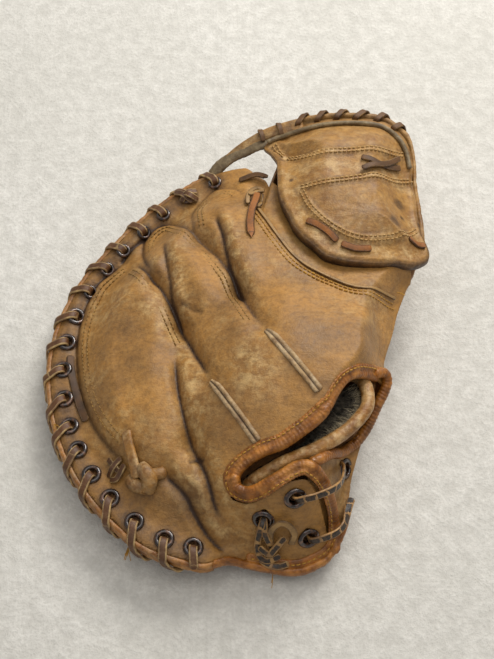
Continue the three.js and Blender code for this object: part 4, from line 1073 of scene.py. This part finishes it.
for i, deg in enumerate(rimHoles, 1):
    p = rimPoint(deg, holeInset, 0)
    # those of the upper rim are sunk deeper and show less
    addEyelet(f"rimEyelet{i}", f"rim_eyelet_{i}", backHeight, p[0], p[1], 0.8 if deg < 160 else 1)
addEyelet("strapEyelet1", "strap_eyelet_1", wingHeight, *wingHole, 1.1)
for i, (ex, ey) in enumerate(strapHoles, 2):
    addEyelet(f"strapEyelet{i}", f"strap_eyelet_{i}", backHeight, ex, ey, 1.12)

# share of the way to the next hole, distance in from the rim, height above its top
rimTurn = [(0, 9.5, -5), (0, 9.6, 1.2), (0.05, 6.2, 2.9), (0.13, 2.2, 1.6), (0.2, -1.4, -0.6),
           (0.25, -2.3, -4), (0.33, -2.4, -8), (0.6, -1, -12.2), (0.92, 8.2, -13.4)]
thumbTurn = [(0, 5.6, -6), (0, 5.6, 0.2), (0.08, 3.2, 1.2), (0.24, -1.2, 0.2), (0.4, -2.2, -6),
             (0.65, -1, -12.2), (0.93, 5, -13)]


def laceMarks(path, grime, seed, points):
    # how far along and how near the middle of the upper face each point of a lace is, in the
    # order of laceSection with its ring at each end
    along = pathLength(path)
    along = np.concatenate([[0], along, along[-1:]])
    face = np.array([0, 0, 0, 0, 0, 0, 0, 0.3, 0.8, 1, 0.8, 0.3])
    marks = {"along": np.append(np.repeat(along, 12), [0, along[-1]]),
             "face": np.append(np.tile(face, len(along)), [0, 0])}
    uneven = ripple(points[:, 0] + points[:, 2], points[:, 1], 6, seed)
    marks["dirt"] = np.clip(grime + 0.7 * uneven, 0, 1)
    return marks


def joinMarks(marks):
    return {key: np.concatenate([m[key] for m in marks]) for key in marks[0]}


def windLace(name, node, holes, turn, material, slot, width=4.6, thick=1.5):
    stations, sides = [], []
    for i, deg in enumerate(holes):
        last = i + 1 == len(holes)
        step = deg - holes[i - 1] if last else holes[i + 1] - deg
        slant = random.uniform(0.7, 1.5)
        for along, inset, up in (turn[:5] if last else turn):
            at = deg + step * along * (slant if along < 0.3 else 1)
            stations.append(rimPoint(at, inset + random.uniform(-0.2, 0.2), up))
            sides.append(rimPoint(at - 1, 0, 0) - rimPoint(at + 1, 0, 0))
    count = 7 * len(stations)
    path = curve(stations, count)
    side = curve(sides, count)
    tangent = unit(np.gradient(path, axis=0))
    points, faces = tubeMesh(path, laceSection(width, thick), unit(np.cross(side, tangent)))
    addMesh(name, points, faces, material, [node], slot, laceMarks(path, 0.05, 5.5, points))


windLace("fingerRimLace", "finger_rim_lace", rimHoles, rimTurn, laceBrown, "brown_lace", 5)
windLace("thumbRimLace", "thumb_rim_lace", thumbHoles, thumbTurn, laceDirty, "brown_lace", 3.8)


def laidPath(route, height, lift, count):
    # the same for a lace, whose route points may have a lift of their own; with the surface's normals
    p = curve([(*r, 0) if len(r) == 2 else r for r in route], count)
    n = normalAt(height, p[:, 0], p[:, 1])
    return np.column_stack([p[:, 0], p[:, 1], height(p[:, 0], p[:, 1])]) + n * (lift + p[:, 2:3]), n


def layLace(name, node, height, routes, width, thick, lift, material, slot, grime=0.1, tip=False):
    # flat laces laid on a surface; each route point may carry a lift of its own
    parts, marks = [], []
    for route in routes:
        path, n = laidPath(route, height, lift + thick / 2, max(14, 8 * len(route)))
        grow = np.ones(len(path))
        if tip:
            grow[-4:] = (0.85, 0.62, 0.4, 0.2)
        parts.append(tubeMesh(path, laceSection(width, thick)[None] * grow[:, None, None], n))
        marks.append(laceMarks(path, grime, 6.5, parts[-1][0]))
    addMesh(name, *joinParts(parts), material, [node] if node else [], slot, joinMarks(marks))


# a welt's two raw edges with the seam sunk between them
weltShape = [(-2.7, -0.8), (-2.8, 0.5), (-2.3, 1.2), (-1.5, 1.5), (-0.6, 1.3), (0, 0.2), (0.6, 1.3),
             (1.5, 1.5), (2.3, 1.2), (2.8, 0.5), (2.7, -0.8)]


def layWelt(name, node, route):
    path, n = laidPath(route, backHeight, 0.3, 70)
    shape = np.array(weltShape)
    grow = np.concatenate([np.linspace(0.55, 1, 12), np.ones(58)])
    points, faces = tubeMesh(path, shape[None] * grow[:, None, None], n)
    marks = emptyMarks(points[:, 0])
    line = np.array([0.7, 0.3, 0, 0, 0.25, 1, 0.25, 0, 0, 0.3, 0.7])
    marks["dirt"] = np.append(np.tile(line, len(path) + 2), [0.5, 0.5])
    marks["worn"] += 0.8
    addMesh(name, points, faces, weltLeather, [node], "roll_leather", marks)


layWelt("backWelt1", "back_welt_1", [(15, -20), (24, -33), (34, -47), (43, -59.5)])
layWelt("backWelt2", "back_welt_2", [(-16, -45), (-8, -58), (1, -71), (9.5, -83.5)])
layLace("thumbSeamWelt", "thumb_seam_welt", backHeight, [seamRoute], 2, 1.3, 0.3, laceTan,
        "olive_piping", 0)
# a dark lace sunk along the little finger's seam
sunkRoute = [(-103.5, -8), (-102.6, -16), (-100.4, -25), (-97.8, -33), (-94.8, -42), (-90.6, -52)]
layLace("seamLace", None, backHeight, [sunkRoute], 5, 1.6, -0.3, laceDirty, "brown_lace", 0.55)

thumbLaces = [[(40.5, 56.5), (47, 52.8), (52.5, 48), (56.8, 42.6)],
              [(60.5, 40.2), (68, 38), (76.5, 38.6)], [(101.5, 50), (106.5, 49.6), (111.5, 50.5)]]
crossLaces = [[(74.8, 100.3), (86.4, 98), (98.5, 104)],
              [(74.7, 91.2, 1), (86.4, 98, 1.2), (97.5, 109.5, 1)]]
for i, route in enumerate(thumbLaces, 1):
    layLace(f"thumbLace{i}", f"thumb_lace_{i}", flapHeight, [route], 4.4, 1.6, 0.4, laceOrange,
            "orange_lace")
layLace("thumbCrossLace", "thumb_cross_lace", flapHeight, crossLaces, 3.8, 1.4, 0.7, laceDirty,
        "brown_lace", 0.2)
tipRoute = [(0, 108.2, 0.1), (10, 109.6, 1.8), (18, 105, 3.4)]
layLace("webTipLace", "web_tip_lace", backHeight, [tipRoute], 3.8, 1.4, gap, laceDirty, "brown_lace", 0.2)
layLace("tailRing", None, backHeight, [
    [(4.2, 80, 0.6), (4, 86, 2.2), (6.4, 92.6, 3.2), (11.6, 94.6, 3.6), (15.8, 89.6, 3),
     (14.8, 81.8, 1.8), (10.6, 76.4, 1)],
    [(4.4, 85.6, 3.2), (9, 88.4, 4.4), (13.4, 89.6, 4.4)]], 3, 1.4, gap, laceTan, "orange_lace", 0.3)
tailRoute = [(9.6, 86.5, 4), (8.6, 81, 3.2), (7, 71, 1.6), (6, 61, 0.6), (6.6, 50.4, 0.1)]
layLace("tailLace", "tail_lace", backHeight, [tailRoute], 5, 1.5, gap, laceOrange, "orange_lace",
        0.05, True)


def makeCornerKnot():
    # a broad tan lace with its end tied into a fat knot
    end = [(-64, -69, -0.6), (-62.4, -74, 0.6), (-60, -80, 1.4), (-57.6, -86, 2.4), (-56, -91, 3.4)]
    strap, n = laidPath(end, backHeight, 0.6, 40)
    parts = [tubeMesh(strap, laceSection(6.6, 2.8), n)]
    marks = [laceMarks(strap, 0.05, 3.5, parts[0][0])]
    lobes = [([(-61.5, -92.3, 0.4), (-59, -94.2, 2.8), (-55.5, -96.4, 2.8), (-52, -98, 0.6)], 4.2),
             ([(-54.5, -88.5, 1), (-50.8, -91.2, 3.8), (-49.4, -95.4, 3.4), (-51.6, -99, 0.8)], 4.8),
             ([(-48.5, -92, 2.2), (-45, -91.5, 2), (-42.4, -91, 0.8)], 3.5)]
    for route, radius in lobes:
        path, n = laidPath(route, backHeight, 0, 26)
        parts.append(tubeMesh(path, roundSection(radius, 12, 0.78), n))
        points = parts[-1][0]
        marks.append({"along": np.zeros(len(points)), "face": np.zeros(len(points)),
                      "dirt": np.clip(0.25 + 0.6 * ripple(points[:, 0], points[:, 1], 4, 9.5), 0, 1)})
    points, faces = joinParts(parts)
    marks = joinMarks(marks)
    marks["worn"] = 0.6 + 0.6 * ripple(points[:, 0], points[:, 1], 5, 1.5)
    addMesh("cornerKnot", points, faces, rollLeather, ["corner_knot"], "roll_leather", marks)


makeCornerKnot()
layLace("cornerBraid", None, backHeight, [
    [(-74.6, -79.5, 0), (-70.4, -83.5, 2), (-66.4, -88.5, 0.2)],
    [(-67.4, -80.5, 0), (-70.6, -85, 3.2), (-74.4, -88.6, 0)],
    [(-73, -91, 0), (-68.4, -90.6, 2.2), (-65, -84.5, 0.2)]], 3.6, 1.4, gap, laceBrown, "brown_lace", 0.3)
layLace("rimKnot", None, backHeight, [
    [(-42, 106.5, 0.6), (-37, 103.4, 2.8), (-31, 98.4, 0.8)],
    [(-37.6, 99.6, 0.6), (-33.5, 104, 3.4), (-28.4, 105.4, 1)],
    [(-36.4, 105, 0.8), (-32, 101.4, 4.6), (-28, 99.4, 0.8)]], 4, 1.4, gap, laceBrown, "brown_lace", 0.25)

strapLaces = {
    "Upper": [(29.8, -112, -2.4), (30.4, -111.6, 2), (33, -110.2, 4.4), (39.5, -107.5, 5.6), (46, -103, 6.6),
              (51, -98.3, 5), (55.8, -91.3, 1.8), (58.9, -86, -0.6), (60, -84, -4)],
    "Lower": [(38, -124.9, -2.4), (39, -124.4, 2), (43, -122.2, 4.4), (49, -118.6, 6.2), (54, -115, 5.4),
              (58, -111, 3), (61, -106.4, 1), (63, -101.4, -0.8)],
}
for end, route in strapLaces.items():
    layLace(f"strapLace{end}", f"strap_lace_{end.lower()}", backHeight, [route], 4.6, 1.5, 0, laceBlack,
            "black_lace", 0)
layLace("strapKnot", "strap_knot", backHeight, [
    [(13, -118.4, -2), (12.4, -119.6, 2), (11, -122.4, 3), (10.2, -126.4, 3), (11.8, -131, 3),
     (16, -132.8, 3), (22, -131, 2.4)],
    [(13.4, -118.6, -1), (14.6, -121.6, 3.4), (17, -125.4, 3.4), (20, -129, 2)],
    [(12, -126, 5), (17, -128.6, 5.4), (20.4, -126.6, 5), (24.4, -124, 3.4)],
    [(12, -133, 1.6), (17.4, -136.6, 2.4), (22, -136.6, 2.4), (26.6, -135, 1.4)]], 4, 1.5, 0, laceWorn,
        "black_lace", 0)
layLace("strapRing", None, backHeight, [
    [(17.4, -126, 2.4), (17.6, -121.6, 2.8), (21.4, -119.2, 3), (26, -119.6, 3), (29.4, -122.6, 2.6),
     (28.4, -126.4, 1.6)]], 4, 1.6, 0.2, laceTan, "black_lace", 0.25)

pipingRoute = [(17.5, 130), (24, 132.5), (32, 134), (48, 135), (63, 135.5), (77, 135.3), (89, 133),
               (98, 127.5), (103.5, 119), (106, 107)]
pipingPath = evenly(onSurface(pipingRoute, flapHeight, 1.4, 80), 0.8)
addRoll("thumbPiping", "thumb_piping", pipingPath, roundSection(1.5), (0.03, 3), 4, pipingLeather,
        "olive_piping", worn=0.6)
# the web strip is the palm's rim roll running across the web; the darker grey piping leather stands in for
# its painted shade
webRoute = [(-18, 119.5, 37.5), (-13, 124, 41.5), (-5, 128, 45.5), (4, 130.5, 49), (12, 132, 52.6),
            (20, 132, 54)]
webPath = evenly(curve(webRoute, 60), 0.8)
addRoll("webStrip", "web_strip", webPath, roundSection(4.2, 18, 0.5), (0.04, 3.4, 0.12), 6, pipingLeather,
        "olive_piping", np.tile([0, 0, 1.0], (len(webPath), 1)), 0.4, 0.6)
# the thumb's laced rim runs on past the flap's tip into the web, and two laces cross it there
rimEnd = curve([(38, 141, 61), (29, 139.8, 59.4), (19, 138.2, 57), (9.5, 135.5, 53.6), (0, 131.8, 49.4),
                (-8, 127.8, 44.8), (-16, 122.5, 39.5)], 50)
grow = np.linspace(1, 0.36, 50)[:, None, None]
addTube("thumbRimEnd", rimEnd, laceSection(10, 3.4)[None] * grow, flapLeather, None, "thumb_leather",
        np.tile([0, -0.3, 1.0], (50, 1)), 0.2, 9, 0.6)
parts, marks = [], []
for x, y, z in ((12.8, 136.8, 55.6), (24.5, 139.4, 59)):
    turn = [(1.6, -4.2, 0.8), (0.8, -1, 2.7), (0, 2.4, 2.3), (-0.4, 5, -0.6), (0, 4.4, -4)]
    turn = curve(np.array(turn) + (x, y, z), 24)
    parts.append(tubeMesh(turn, laceSection(3.4, 1.4), np.tile([0, 0.5, 1.0], (24, 1))))
    marks.append(laceMarks(turn, 0.05, 5.5, parts[-1][0]))
addMesh("rimEndLaces", *joinParts(parts), laceDirty, [], "brown_lace", joinMarks(marks))
edgeLine = np.array([rimPoint(deg, 3.6, 0)[:2] for deg in np.arange(272, 297, 1.5)])
edgeBand = onSurface(edgeLine, backHeight, 0.3, 90)
addTube("strapEdgeBand", edgeBand, laceSection(5.6, 1.8), bindingLeather, None, "binding_leather",
        surfaceUp(backHeight, edgeBand), 0.1, 7)


def stitchRow(route, height, spacing, lift=0.1, thick=0.5):
    path = evenly(onSurface(route, height, lift, 120), 0.8)
    return pathStitches(path, surfaceUp(height, path), spacing, thick)


def offset(route, distance):
    p = curve([r[:2] for r in route], 60)
    t = unit(np.gradient(p, axis=0))
    return p + np.column_stack([-t[:, 1], t[:, 0]]) * distance


def creasePath(name):
    return next(c["path"] for c in creases if c["name"] == name)


def addThreads(name, parts, material):
    addMesh(name, *joinParts(parts), material)


flapRows = []
for seam in flapSeams:
    flapRows += [stitchRow(offset(seam, d), flapHeight, 2.8, 0.2) for d in (1.1, -1.1)]
addThreads("flapStitches", flapRows, paleThread)
seamRows = [stitchRow(offset(seamRoute, d), backHeight, 3) for d in (-3, -5.6)]
addThreads("seamStitches", seamRows, yellowThread)
# rows inside the edges of the three finger stalls
stallRows = [("little finger outer seam", (4.2, 7.4)), ("little finger inner fold", (-4.4, -7.4)),
             ("ring finger seam", (-4.2, -7)), ("middle finger seam", (-4, -6.6))]
stallThreads = []
for name, distances in stallRows:
    route = curve(creasePath(name), 60)
    route = route[3:42] if name == "little finger inner fold" else route[3:56]
    stallThreads += [stitchRow(offset(route, d), backHeight, 3, 0, 0.42) for d in distances]
addThreads("stallStitches", stallThreads, dullThread)
edgeStitches = onSurface(edgeLine, backHeight, 2.2, 120)
bindingThreads.append(pathStitches(edgeStitches, surfaceUp(backHeight, edgeStitches), 3.2))
addThreads("bindingStitches", bindingThreads, yellowThread)

# yellow thread ends that hang out of the seams: where, which way, how long, how many
tufts = [(rimPoint(277.5, -1.5, -5), (0.1, -1, -0.4), 8, 2),
         (rimPoint(243.5, -0.5, -11), (-0.1, -1, -0.2), 9, 7),
         (np.array([93, 17, 57]), (1, -0.3, 0.1), 5, 6), (rimPoint(206, 1, -0.8), (0.3, -0.5, 0.1), 8, 5)]
ends = []
for root, way, length, count in tufts:
    for _ in range(count):
        lean = np.array(way) + np.array([random.uniform(-0.3, 0.3) for _ in range(3)])
        t = np.linspace(0, 1, 6)[:, None]
        bend = np.array([random.uniform(-1, 1), random.uniform(-1, 1), 0]) * 0.12 * length * t ** 2
        strand = root + lean / np.linalg.norm(lean) * t * length * random.uniform(0.6, 1) + bend
        ends.append(tubeMesh(strand, roundSection(0.22, 5)))
addThreads("threadEnds", ends, yellowThread)


def makeFloor():
    # short pale felt: mottled by its pile, dull all over
    material, shader, where = newMaterial("pale felted floor")
    soft = noiseAt(material, where, 160, 6.0, 0.6)
    tuft = noiseAt(material, where, 9, 8.0, 0.66)
    fibre = noiseAt(material, where, 2.2, 6.0, 0.7)
    colour = mixColour(material, ramp(material, soft, 0.35, 0.65), linear("dcd9d0"), linear("e9e6de"))
    colour = mixColour(material, ramp(material, tuft, 0.4, 0.62, 0.5, 0), colour, linear("bdbab1"))
    colour = mixColour(material, ramp(material, fibre, 0.4, 0.62, 0.4, 0), colour, linear("bcb8ae"))
    relief = bumpOver(material, fibre, 0.0012, 0.6, bumpOver(material, tuft, 0.003, 0.5))
    feed(material, shader, {"Base Color": colour, "Roughness": 0.95, "Normal": relief})
    bpy.ops.mesh.primitive_plane_add(size=6, location=(0, 0, 0))
    floor = bpy.context.object
    floor.name = "floor"
    floor.data.materials.append(material)


def addLamp(name, location, target, size, power, colour):
    lamp = bpy.data.lights.new(name, "AREA")
    lamp.size, lamp.energy, lamp.color = size, power, colour
    holder = bpy.data.objects.new(name, lamp)
    bpy.context.scene.collection.objects.link(holder)
    holder.location = location
    holder.rotation_euler = (Vector(target) - Vector(location)).to_track_quat("-Z", "Y").to_euler()


view = dict(target=(4, 1.5, 40), elevation=math.radians(60), distance=0.7, lens=63.75)


def makeCamera():
    camera = bpy.data.objects.new("camera", bpy.data.cameras.new("camera"))
    bpy.context.scene.collection.objects.link(camera)
    away = Vector((0, -math.cos(view["elevation"]), math.sin(view["elevation"])))
    camera.location = Vector(toFrame(view["target"])[0].tolist()) + away * view["distance"]
    camera.rotation_euler = (-away).to_track_quat("-Z", "Y").to_euler()
    camera.data.lens = view["lens"]
    camera.data.dof.use_dof = False
    bpy.context.scene.camera = camera


makeFloor()
addLamp("window", (0.42, 0.8, 0.95), (0, 0, 0.03), 0.6, 13.5, (1.0, 0.98, 0.95))
addLamp("ceiling", (0.1, -0.1, 1.8), (0, 0, 0), 1.6, 11, (1.0, 0.97, 0.93))
world = bpy.data.worlds.new("room")
bpy.context.scene.world = world
world.use_nodes = True
feed(world, world.node_tree.nodes["Background"], {"Color": linear("e6e6e8"), "Strength": 0.45})
bpy.context.scene.view_settings.view_transform = "Standard"
makeCamera()
